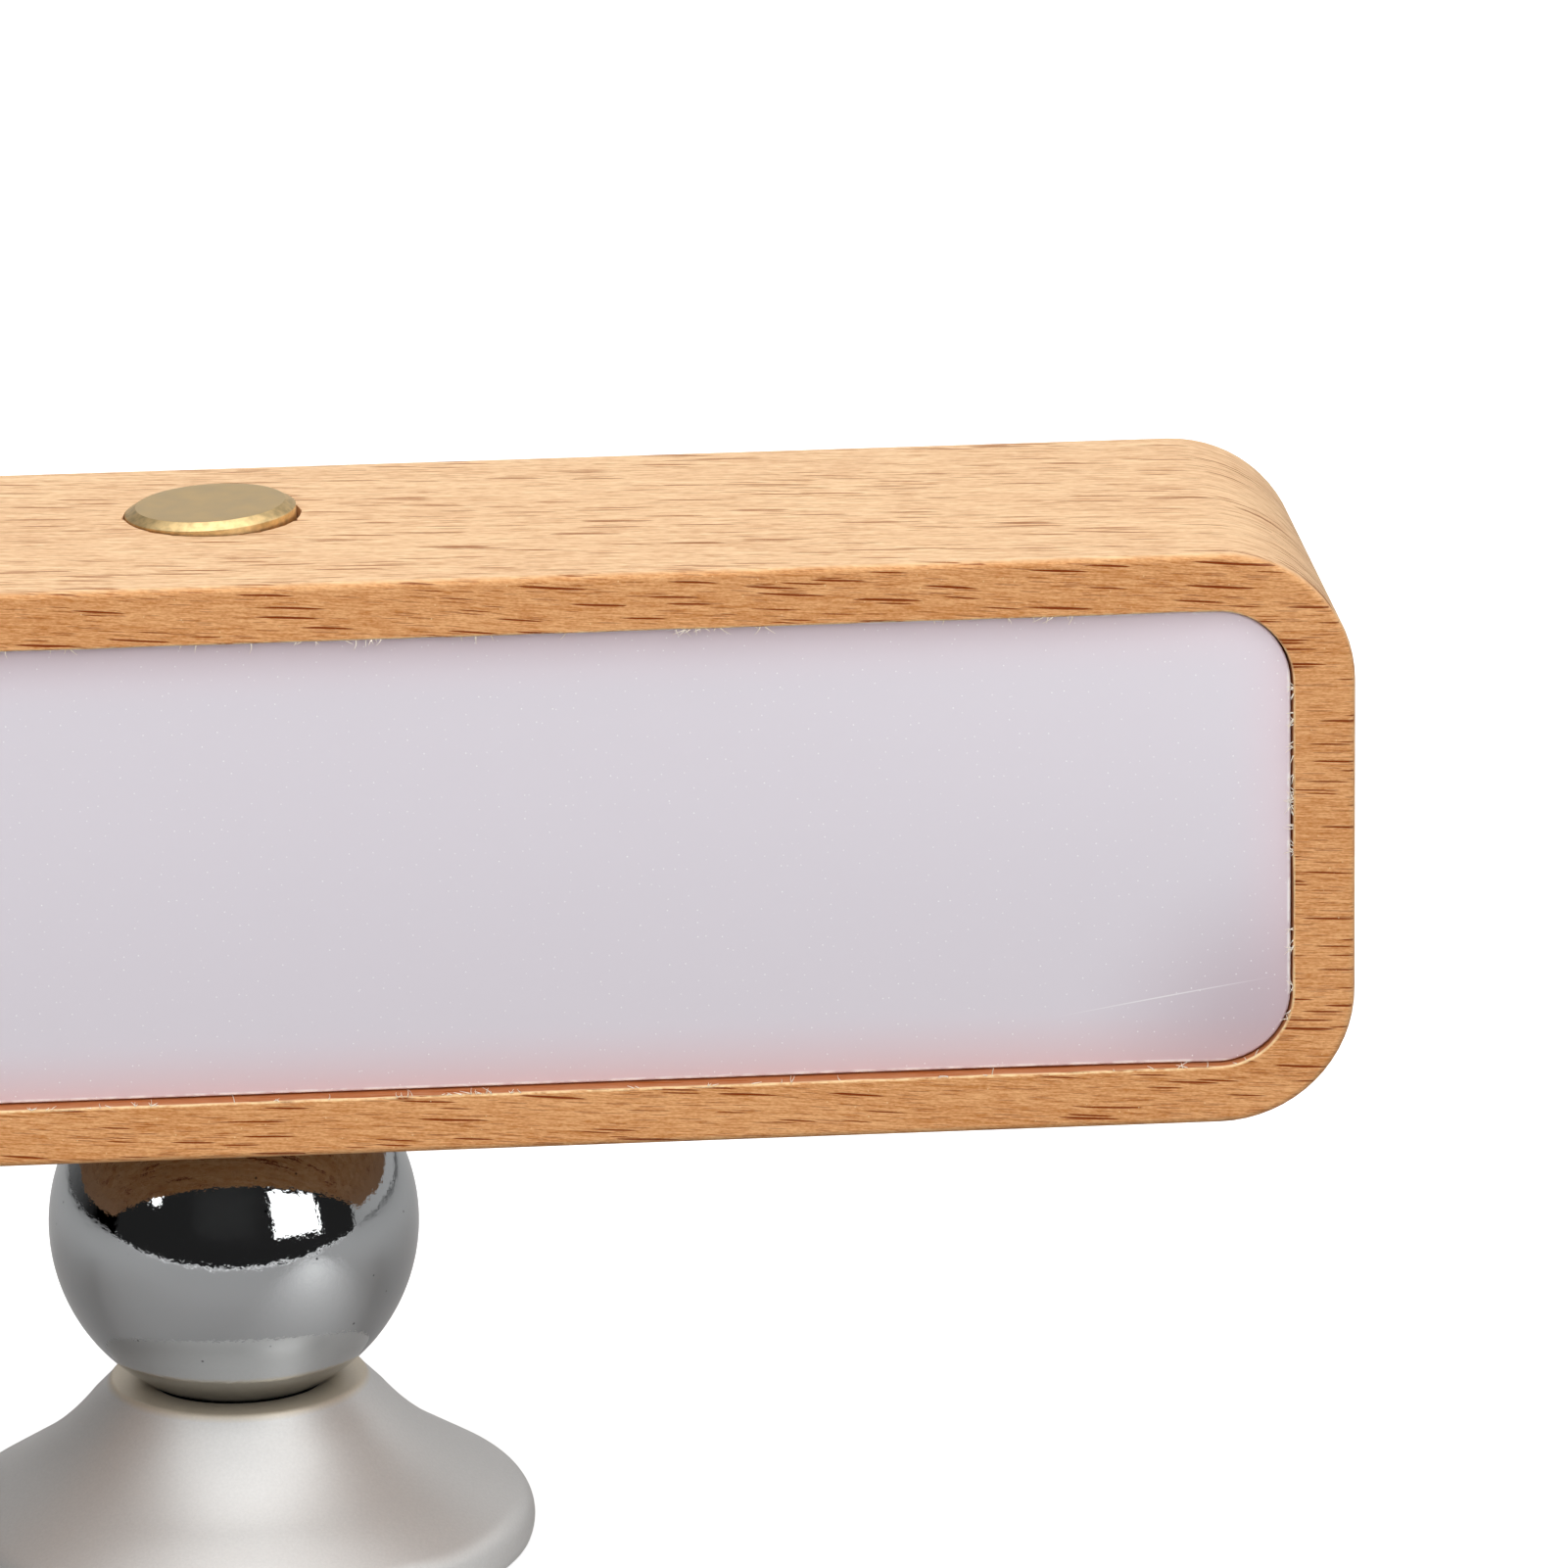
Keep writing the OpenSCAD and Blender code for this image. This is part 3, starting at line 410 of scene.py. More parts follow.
def milky_acrylic(colours):
    """Cast acrylic, milky and satin on its face: lilac white, with painted shade tinted by the wood's bounce light
    along its edges and in its lower corners, a painted highlight along its rim, and fine specks.
    """
    material = bpy.data.materials.new("milky acrylic, satin cast")
    node = blank(material)
    place = node("TexCoord")["Object"]
    axes = node("SeparateXYZ", {"Vector": place})
    half_x = (PANEL_HIGH.x - PANEL_LOW.x) / 2
    half_z = (PANEL_HIGH.z - PANEL_LOW.z) / 2
    off_x = node("Math", {0: axes["X"]}, operation="ABSOLUTE")[0]
    from_mid = node("Math", {0: axes["Z"], 1: BAR_MID.z}, operation="SUBTRACT")[0]
    off_z = node("Math", {0: from_mid}, operation="ABSOLUTE")[0]
    to_end = node("Math", {0: half_x, 1: off_x}, operation="SUBTRACT")[0]
    to_side = node("Math", {0: half_z, 1: off_z}, operation="SUBTRACT")[0]
    to_edge = node("Math", {0: to_end, 1: to_side, 2: 4 * MM}, operation="SMOOTH_MIN")[0]
    inside = node("MapRange", {0: to_edge, 1: -1 * MM, 2: 6 * MM}, interpolation_type="SMOOTHSTEP")[0]
    # Painted shade, tinted by the wood's bounce light, gathers in the lower corners
    from_low = node("Math", {0: from_mid, 1: half_z}, operation="ADD")[0]
    corner = node("CombineXYZ", {"X": to_end, "Y": from_low})[0]
    to_corner = node("VectorMath", {0: corner}, operation="LENGTH")["Value"]
    painted_corner_shade = node("MapRange", {0: to_corner, 1: 20 * MM, 2: 0.0, 3: 0.0, 4: 0.8}, interpolation_type="SMOOTHSTEP")[0]
    # So does painted shade, tinted by the wood's bounce light, along the lower edge
    painted_low_bounce = node("MapRange", {0: from_low, 1: 5 * MM, 2: 0.0, 3: 0.0, 4: 0.3}, interpolation_type="SMOOTHSTEP")[0]
    # A painted highlight along the polished rim, brighter in some places than in others
    rim_glint_patches = node("TexNoise", {"Vector": place, "Scale": 1 / (1.5 * MM), "Detail": 2.0})
    lit = node("MapRange", {0: rim_glint_patches["Fac"], 1: 0.4, 2: 0.6, 3: 0.2, 4: 1.0})[0]
    rim = node("MapRange", {0: to_edge, 1: 0.32 * MM, 2: 0.12 * MM})[0]
    painted_rim_highlight = node("Math", {0: rim, 1: lit}, operation="MULTIPLY")[0]
    # One hairline scratch
    scratch = node("Mapping", {"Vector": place, "Location": (79 * MM, PANEL_LOW.y, 52.1 * MM),
                               "Rotation": (0.0, math.radians(-9.6), 0.0),
                               "Scale": (10 * MM, 20 * MM, 0.08 * MM)}, vector_type="TEXTURE")
    off_line = node("VectorMath", {0: scratch[0]}, operation="LENGTH")["Value"]
    scored = node("MapRange", {0: off_line, 1: 1.0, 2: 0.2, 3: 0.0, 4: 0.55})[0]
    # Specks of dust
    face = node("CombineXYZ", {"X": axes["X"], "Y": axes["Z"]})[0]
    specks = node("TexVoronoi", {"Vector": face, "Scale": 1 / (1.2 * MM)}, voronoi_dimensions="2D")
    bright = node("MapRange", {0: specks["Color"], 1: 0.3, 2: 0.9, 3: 0.0, 4: 0.7})[0]
    dot = node("MapRange", {0: specks["Distance"], 1: 0.07, 2: 0.03})[0]
    speck = node("Math", {0: dot, 1: bright}, operation="MULTIPLY")[0]
    # The edges are painted with shade tinted by the wood's bounce light, and the rim with a painted highlight
    shown = node("Mix", {0: inside, 6: colours.milky_edge_shade, 7: colours.milky}, data_type="RGBA")[2]
    white = linear("#FFFFFF")
    for amount, tone in ((painted_corner_shade, colours.milky_corner_shade), (painted_low_bounce, colours.milky_low_bounce), (painted_rim_highlight, white),
                         (scored, white), (speck, white)):
        shown = node("Mix", {0: amount, 6: shown, 7: tone}, data_type="RGBA")[2]
    satin = node("TexNoise", {"Vector": place, "Scale": 1 / (0.3 * MM), "Detail": 2.0})
    rough = node("MapRange", {0: satin["Fac"], 3: 0.36, 4: 0.5})[0]
    bump = node("Bump", {"Strength": 0.2, "Distance": 0.01 * MM, "Height": satin["Fac"]})
    shader = node("BsdfPrincipled", {"Base Color": shown, "Roughness": rough, "Normal": bump[0], "IOR": 1.49})
    node("OutputMaterial", {"Surface": shader[0]})
    return material


def chromed_steel(colours):
    """Steel ball, ground, polished and chromed: a mirror with a faint ripple and a few tiny pits."""
    material = bpy.data.materials.new("chromed steel, polished")
    node = blank(material)
    place = node("TexCoord")["Object"]
    ripple = node("TexNoise", {"Vector": place, "Scale": 1 / (0.6 * MM), "Detail": 3.0})
    rough = node("MapRange", {0: ripple["Fac"], 3: 0.02, 4: 0.06})[0]
    pits = node("TexVoronoi", {"Vector": place, "Scale": 1 / (2.2 * MM)})
    pit = node("MapRange", {0: pits["Distance"], 1: 0.07, 2: 0.03})[0]
    tint = node("Mix", {0: pit, 6: colours.chrome, 7: linear("#4A4A4C")}, data_type="RGBA")
    bump = node("Bump", {"Strength": 0.8, "Distance": 0.02 * MM, "Height": ripple["Fac"]})
    shader = node("BsdfPrincipled", {
        "Base Color": tint[2], "Metallic": 1.0, "Roughness": rough, "Normal": bump[0]})
    node("OutputMaterial", {"Surface": shader[0]})
    return material


def blasted_aluminium(colours):
    """Aluminium, turned, bead-blasted and clear anodised: soft satin silver with a very fine grain."""
    material = bpy.data.materials.new("aluminium, bead-blasted")
    node = blank(material)
    place = node("TexCoord")["Object"]
    # Real blasting grit is about 0.1 mm wide. It is drawn coarser so that it shows
    grit = node("TexNoise", {"Vector": place, "Scale": 1 / (0.25 * MM), "Detail": 2.0})
    cloud = node("TexNoise", {"Vector": place, "Scale": 1 / (9 * MM), "Detail": 3.0})
    rough = node("MapRange", {0: cloud["Fac"], 3: 0.42, 4: 0.48})[0]
    value = node("MapRange", {0: grit["Fac"], 3: 0.92, 4: 1.06})[0]
    # The lip is painted a warmer tone, a painted reflection of the wood bar above it
    height = node("SeparateXYZ", {"Vector": place})["Z"]
    on_lip = node("MapRange", {0: height, 1: BASE_HIGH.z - 0.6 * MM, 2: BASE_HIGH.z - 0.05 * MM})[0]
    metal = node("Mix", {0: on_lip, 6: colours.aluminium, 7: colours.lip_reflection_tint}, data_type="RGBA")
    tint = node("VectorMath", {0: metal[2], "Scale": value}, operation="SCALE")
    bump = node("Bump", {"Strength": 0.25, "Distance": 0.02 * MM, "Height": grit["Fac"]})
    shader = node("BsdfPrincipled", {
        "Base Color": tint[0], "Metallic": 0.75, "Roughness": rough, "Normal": bump[0]})
    node("OutputMaterial", {"Surface": shader[0]})
    return material


def turned_brass(colours):
    """Brass, turned: a dull satin top with faint tool rings and a brighter, streaked bevel."""
    material = bpy.data.materials.new("brass, turned")
    node = blank(material)
    spots = node("TexCoord")
    place = spots["Object"]
    spot = node("Mapping", {"Vector": place, "Location": BUTTON_MID}, vector_type="TEXTURE")
    rings = node("TexWave", {"Vector": spot[0], "Scale": 1 / (1.2 * MM), "Distortion": 1.5, "Detail": 2.0},
                 wave_type="RINGS", rings_direction="Z")
    # The tool leaves long streaks
    long_way = node("Mapping", {"Vector": place, "Scale": (2.5 * MM, 2.5 * MM, 0.15 * MM)}, vector_type="TEXTURE")
    cloud = node("TexNoise", {"Vector": long_way[0], "Scale": 1.0, "Detail": 4.0})
    rough = node("MapRange", {0: cloud["Fac"], 1: 0.3, 2: 0.7, 3: 0.36, 4: 0.43})[0]
    value = node("MapRange", {0: cloud["Fac"], 1: 0.3, 2: 0.7, 3: 0.92, 4: 1.05})[0]
    # Scuffs mark the bevel alone
    slope = node("SeparateXYZ", {"Vector": spots["Normal"]})["Z"]
    on_bevel = node("MapRange", {0: slope, 1: 0.98, 2: 0.92})[0]
    scuff = node("TexNoise", {"Vector": place, "Scale": 1 / (0.7 * MM), "Detail": 3.0})["Fac"]
    scuffed = node("MapRange", {0: scuff, 1: 0.35, 2: 0.62, 3: 0.86, 4: 1.16})[0]
    streaks = node("Mix", {0: on_bevel, 2: value, 3: scuffed})[0]
    tint = node("VectorMath", {0: colours.brass[:3], "Scale": streaks}, operation="SCALE")
    bump = node("Bump", {"Strength": 0.08, "Distance": 0.01 * MM, "Height": rings["Fac"]})
    shader = node("BsdfPrincipled", {
        "Base Color": tint[0], "Metallic": 1.0, "Roughness": rough, "Normal": bump[0]})
    node("OutputMaterial", {"Surface": shader[0]})
    return material


# Finishes of the pieces that keep their solids: colours of the surface and of its marks, roughness, metallic and
# the width of the marks in millimetres
INNER_FINISHES = {
    # Dull silver with a faint cloudy spangle
    "plated_steel": ("steel, zinc plated", "#A9ACAE", "#83878A", 0.36, 1.0, 1.6),
    # Warm bright silver with fine rub marks
    "magnet_nickel": ("nickel plate, barrel polished", "#C3BFB6", "#A29D93", 0.22, 1.0, 0.9),
    # Satin silver with a very fine grain
    "satin_aluminium": ("aluminium, fine turned", "#C7C6C4", "#AFAEAC", 0.34, 1.0, 0.4),
    # Deep grey with fine cells
    "black_foam": ("EPDM foam, closed cell", "#2B2B2D", "#161617", 0.9, 0.0, 0.5),
    # Soft matt black
    "black_rubber": ("silicone rubber, moulded", "#242425", "#1A1A1B", 0.7, 0.0, 0.8),
    # Black with a spark-eroded texture
    "black_plastic": ("ABS, moulded with a fine texture", "#262628", "#19191A", 0.5, 0.0, 0.35),
    # Off-white, a little waxy
    "white_nylon": ("nylon, moulded", "#E6E3DA", "#D5D1C6", 0.45, 0.0, 1.2),
    # Bright white with a faint weave of the glass cloth below
    "white_board": ("white solder mask", "#F0F0EC", "#E2E2DD", 0.38, 0.0, 0.6),
    # Green with copper tracks showing through a little darker
    "green_board": ("green solder mask", "#1C6A3B", "#124D2A", 0.32, 0.0, 1.5),
    # Yellow phosphor grains in clear resin
    "led_phosphor": ("phosphor in silicone", "#EFCB4E", "#D9AC2C", 0.28, 0.0, 0.2),
    # Glossy blue sleeve, stretched a little unevenly
    "cell_wrap": ("PVC sleeve, heat shrunk", "#2E6CA5", "#255A8C", 0.25, 0.0, 4.0),
    # Water clear with a ground end
    "clear_resin": ("acrylic rod, ground end", "#E8EEF0", "#D6DEE2", 0.3, 0.0, 0.5),
    # Pale torn wood
    "loose_fibre": ("beech fibre, torn", "#FFFAF0", "#F6E6CC", 0.6, 0.0, 0.3),
    # Soft red, slightly dusty
    "lead_insulation": ("PVC insulation, drawn", "#AE2A2A", "#8C1F20", 0.45, 0.0, 0.7),
}


def inner_finish(slot):
    """A moulded, plated or drawn surface with cloudy marks of its own size."""
    name, base, mark, roughness, metallic, width = INNER_FINISHES[slot]
    material = bpy.data.materials.new(name)
    node = blank(material)
    place = node("TexCoord")["Object"]
    cloud = node("TexNoise", {"Vector": place, "Scale": 1 / (width * MM), "Detail": 3.0})
    tint = node("Mix", {0: cloud["Fac"], 6: linear(base), 7: linear(mark)}, data_type="RGBA")
    rough = node("MapRange", {0: cloud["Fac"], 3: roughness * 0.85, 4: roughness * 1.15})
    bump = node("Bump", {"Strength": 0.2, "Distance": 0.03 * MM, "Height": cloud["Fac"]})
    shader = node("BsdfPrincipled", {
        "Base Color": tint[2], "Metallic": metallic, "Roughness": rough[0], "Normal": bump[0]})
    node("OutputMaterial", {"Surface": shader[0]})
    return material


# Pieces

class SCONCE_OT_bar(bpy.types.Operator):
    """Models the beech bar: sanded edges, the window's opening, the button's hole and the charging recess"""
    bl_idname = "sconce.bar"
    bl_label = "Beech bar"

    # Seed of the noise by which the cut edges stray, which would otherwise change with the time of day
    SEED = 7
    # An odd number along the sides keeps the bar's own points off the middle, where the cutters have theirs
    CORNER_STEPS, SIDE_STEPS, END_STEPS, ARRIS_STEPS = 16, 161, 12, 6
    HOLE_STEPS, BORE_STEPS, LAMP_STEPS = 96, 128, 48
    # How worn the back, front and window arrises are, and how strongly each ring of the window's wall is painted with
    # the shade of its recess
    WEAR, BURNISH = (0.1, 0.12, 0.75), (0.7, 1.0, 1.0, 1.0)
    STRAY_LENGTH = 2.5 * MM
    # Chips to the hole's radius, their place in the noise, and the noise from which one breaks out
    CHIPS, CHIP_PLACE, CHIP_FROM = 9, 0.3, 0.2
    # How far the cutters reach past the wood, and how far a slot's ends fall short of half circles
    OVER, SHORT = 2 * MM, 0.01 * MM

    def ring(self, half_w, half_h, radius, y, stray):
        """One ring of the bar at depth y, which strays a little from its true line."""
        points = []
        for x, z in outline(half_w, half_h, radius, self.CORNER_STEPS, self.SIDE_STEPS, self.END_STEPS):
            point = Vector((x, y, z + BAR_MID.z))
            points.append(point + stray * noise.noise_vector(point / self.STRAY_LENGTH))
        return points

    def execute(self, context):
        noise.seed_set(self.SEED)
        sizes = context.scene.sconce_bar
        half_w = (BAR_HIGH.x - BAR_LOW.x) / 2
        half_h = (BAR_HIGH.z - BAR_LOW.z) / 2
        quarter = [math.pi / 2 * i / self.ARRIS_STEPS for i in range(self.ARRIS_STEPS + 1)]
        rings = []
        # Back arris, front arris, the window's arris, its wall, the ledge and the hollow
        for a in quarter:
            inset = sizes.arris * (1 - math.sin(a))
            y = BAR_HIGH.y - sizes.arris * (1 - math.cos(a))
            rings.append(self.ring(half_w - inset, half_h - inset, sizes.corner - inset, y, 0.0))
        for a in quarter:
            inset = sizes.arris * (1 - math.cos(a))
            y = BAR_LOW.y + sizes.arris * (1 - math.sin(a))
            rings.append(self.ring(half_w - inset, half_h - inset, sizes.corner - inset, y, 0.0))
        window_w, window_h = half_w - sizes.end_rail, half_h - sizes.rail
        window_r = sizes.corner - sizes.rail
        for a in quarter:
            out = sizes.window_arris * (1 - math.sin(a))
            y = BAR_LOW.y + sizes.window_arris * (1 - math.cos(a))
            rings.append(self.ring(window_w + out, window_h + out, window_r + out, y, sizes.ragged * math.sin(a)))
        rings.append(self.ring(window_w, window_h, window_r, BAR_LOW.y + 2 * sizes.window_arris, sizes.ragged))
        rings.append(self.ring(window_w, window_h, window_r, PANEL_HIGH.y, 0.0))
        pocket = (window_w - sizes.ledge, window_h - sizes.ledge, window_r - sizes.ledge)
        rings.append(self.ring(*pocket, PANEL_HIGH.y, 0.0))
        rings.append(self.ring(*pocket, BAR_HIGH.y - sizes.back, 0.0))
        builder = bmesh.new()
        worn = builder.verts.layers.float.new("arris")
        recess_shade = builder.verts.layers.float.new("recess_shade")
        rows = tube(builder, rings)
        # The first rings are the three arrises, each most worn in its middle
        for i, row in enumerate(rows[:3 * len(quarter)]):
            for vert in row:
                vert[worn] = self.WEAR[i // len(quarter)] * math.sin(2 * quarter[i % len(quarter)])
        # The window's wall is painted with the shade of its recess, ring by ring
        for row, depth in zip(rows[3 * len(quarter):], self.BURNISH):
            for vert in row:
                vert[recess_shade] = depth
        made = piece("beech_body", builder, beech(context.scene.sconce_finishes), "bar")
        cut(made, self.cutters(context))
        made.data.set_sharp_from_angle(angle=math.radians(SHARP))
        made.modifiers.new("even shading", "WEIGHTED_NORMAL").keep_sharp = True
        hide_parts("wood_body")
        return {"FINISHED"}

    def slot(self, half_w, half_h, z, front, back, corner_steps):
        """A flat slot with round ends, from front to back."""
        builder = bmesh.new()
        shape = outline(half_w, half_h, half_h - self.SHORT, corner_steps, 2, 1)
        tube(builder, [[Vector((x, y, z + up)) for x, up in shape] for y in (front, back)])
        return builder

    def cutters(self, context):
        """The button's hole, the ball seat's bore, the charging recess and the charge lamp's hole."""
        sizes = context.scene.sconce_bar
        over = self.OVER
        radius = context.scene.sconce_button.radius + sizes.hole_gap
        turns = [2 * math.pi * i / self.HOLE_STEPS for i in range(self.HOLE_STEPS)]
        rings = []
        for z, chip in ((BAR_HIGH.z - sizes.rail - sizes.ledge - over, 0.0), (BAR_HIGH.z - sizes.hole_chip_drop, 0.0),
                        (BAR_HIGH.z, sizes.hole_chip), (BAR_HIGH.z + over, sizes.hole_chip)):
            ring = []
            for a in turns:
                place = Vector((math.cos(a), math.sin(a), self.CHIP_PLACE)) * self.CHIPS
                reach = radius + chip * max(0.0, noise.noise(place) - self.CHIP_FROM)
                ring.append(Vector((math.cos(a) * reach, BUTTON_MID.y + math.sin(a) * reach, z)))
            rings.append(ring)
        hole = bmesh.new()
        tube(hole, rings)

        bore = bmesh.new()
        wide, low, deep = sizes.bore + sizes.bore_bevel, BAR_LOW.z, BAR_LOW.z + sizes.bore_depth
        lathe(bore, [(0, low - over), (wide, low - over), (wide, low), (sizes.bore, low + sizes.bore_bevel),
                     (sizes.bore, deep), (0, deep)], self.BORE_STEPS, False)

        socket_z = (SOCKET_LOW.z + SOCKET_HIGH.z) / 2
        recess = self.slot(sizes.plug_width / 2, sizes.plug_height / 2, socket_z, SOCKET_HIGH.y, BAR_HIGH.y + over, 16)
        slot = self.slot((SOCKET_HIGH.x - SOCKET_LOW.x) / 2 + sizes.socket_gap,
                         (SOCKET_HIGH.z - SOCKET_LOW.z) / 2 + sizes.socket_gap, socket_z,
                         BAR_HIGH.y - sizes.back - over, SOCKET_HIGH.y + over, 12)

        lamp = bmesh.new()
        lamp_mid = (LAMP_LOW + LAMP_HIGH) / 2
        lamp_r = (LAMP_HIGH.x - LAMP_LOW.x) / 2 + sizes.lamp_gap
        turns = [2 * math.pi * i / self.LAMP_STEPS for i in range(self.LAMP_STEPS)]
        tube(lamp, [[Vector((lamp_mid.x + lamp_r * math.cos(a), y, lamp_mid.z + lamp_r * math.sin(a)))
                     for a in turns] for y in (LAMP_LOW.y - over, BAR_HIGH.y + over)])
        return hole, bore, recess, slot, lamp


class SCONCE_OT_window(bpy.types.Operator):
    """Models the milky window, a little bowed, with polished edges"""
    bl_idname = "sconce.window"
    bl_label = "Milky window"

    CORNER_STEPS, SIDE_STEPS, EDGE_STEPS = 12, 60, 4
    # The bow grows with this power of the distance from the middle, so it shows near the ends alone
    BOW_POWER = 8

    def execute(self, context):
        sizes = context.scene.sconce_bar
        half_w = (PANEL_HIGH.x - PANEL_LOW.x) / 2 + sizes.panel_swell
        half_h = (PANEL_HIGH.z - PANEL_LOW.z) / 2 + sizes.panel_swell
        radius = sizes.corner - sizes.rail - sizes.panel_corner
        builder = bmesh.new()
        rings = []
        quarter = [math.pi / 2 * i / self.EDGE_STEPS for i in range(self.EDGE_STEPS + 1)]
        for a in quarter:
            inset = sizes.panel_edge * (1 - math.sin(a))
            y = PANEL_LOW.y + sizes.panel_edge * (1 - math.cos(a))
            rings.append((inset, y, 1.0))
        # Its flat back rests on the ledge
        rings.append((0.0, PANEL_HIGH.y, 0.0))
        loops = []
        for inset, y, bowed in rings:
            shape = outline(half_w - inset, half_h - inset, radius - inset, self.CORNER_STEPS, self.SIDE_STEPS, 1)
            loop = []
            for x, z in shape:
                # The middle of each end is left out, so that the ladder's faces meet there
                if z:
                    forward = sizes.panel_forward + sizes.panel_bow * (x / half_w) ** self.BOW_POWER
                    loop.append(Vector((x, y - bowed * forward, z + BAR_MID.z)))
            loops.append(loop)
        rows = loft(builder, loops)
        for row in (rows[0], rows[-1]):
            self.ladder(builder, row)
        made = piece("milky_window", builder, milky_acrylic(context.scene.sconce_finishes), "bar")
        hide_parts("diffuser")
        return {"FINISHED"}

    @staticmethod
    def ladder(builder, row):
        """Closes a ring with faces that run from its top to its bottom."""
        top = [v for v in row if v.co.z > BAR_MID.z]
        bottom = {round(v.co.x, 7): v for v in row if v.co.z < BAR_MID.z}
        pairs = [(v, bottom[round(v.co.x, 7)]) for v in top]
        for (a, b), (c, d) in zip(pairs, pairs[1:]):
            builder.faces.new((a, c, d, b))


class SCONCE_OT_fibres(bpy.types.Operator):
    """Adds the torn fibres that stand in tufts along the window's edge"""
    bl_idname = "sconce.fibres"
    bl_label = "Wood fibres"

    SEED, TUFTS, MOST_IN_TUFT, STEPS, SIDES = 11, 130, 4, 4, 4
    # Points along the window's corners, sides and ends, and how many of them a tuft spreads over to each side
    EDGE_STEPS, SPREAD = (12, 400, 80), 2
    # Millimetres that a fibre starts behind the face and that it is long
    SET_BACK, LENGTHS = (0.0, 0.2), (0.25, 0.9)
    # Radians that it leans along the edge, how far it points forward, and how much it curls and thins
    LEAN, FORWARD, CURL, TAPER = (-1.3, 1.3), (-0.6, 0.1), (-0.5, 0.5), 0.7

    def execute(self, context):
        sizes = context.scene.sconce_bar
        half_w = (BAR_HIGH.x - BAR_LOW.x) / 2 - sizes.end_rail
        half_h = (BAR_HIGH.z - BAR_LOW.z) / 2 - sizes.rail
        opening = outline(half_w, half_h, sizes.corner - sizes.rail, *self.EDGE_STEPS)
        edge = [Vector((x, 0.0, z)) for x, z in opening]
        chance = random.Random(self.SEED)
        builder = bmesh.new()
        for _ in range(self.TUFTS):
            root = chance.randrange(len(edge))
            for _ in range(chance.randint(1, self.MOST_IN_TUFT)):
                i = (root + chance.randint(-self.SPREAD, self.SPREAD)) % len(edge)
                way = (edge[(i + 1) % len(edge)] - edge[i]).normalized()
                inward = Vector((-way.z, 0.0, way.x))
                start = edge[i] + Vector((0.0, BAR_LOW.y + chance.uniform(*self.SET_BACK) * MM, BAR_MID.z))
                lean = chance.uniform(*self.LEAN)
                forward = Vector((0.0, chance.uniform(*self.FORWARD), 0.0))
                heading = inward * math.cos(lean) + way * math.sin(lean) + forward
                curl = way * chance.uniform(*self.CURL)
                length = chance.uniform(*self.LENGTHS) * MM
                self.grow(builder, start, heading.normalized(), curl, length, sizes.fibre)
        made = piece("wood_fibres", builder, inner_finish("loose_fibre"), "bar", ALL_SMOOTH)
        return {"FINISHED"}

    def grow(self, builder, start, heading, curl, length, thickness):
        """One fibre: a thin closed tube that curls and thins to its end."""
        side = heading.cross(Vector((0.3, 0.5, 0.8))).normalized()
        over = heading.cross(side)
        rings = []
        for step in range(self.STEPS + 1):
            share = step / self.STEPS
            middle = start + length * (heading * share + curl * share ** 2)
            radius = thickness / 2 * (1 - self.TAPER * share)
            turns = [2 * math.pi * i / self.SIDES for i in range(self.SIDES)]
            rings.append([middle + radius * (side * math.cos(a) + over * math.sin(a)) for a in turns])
        tube(builder, rings)


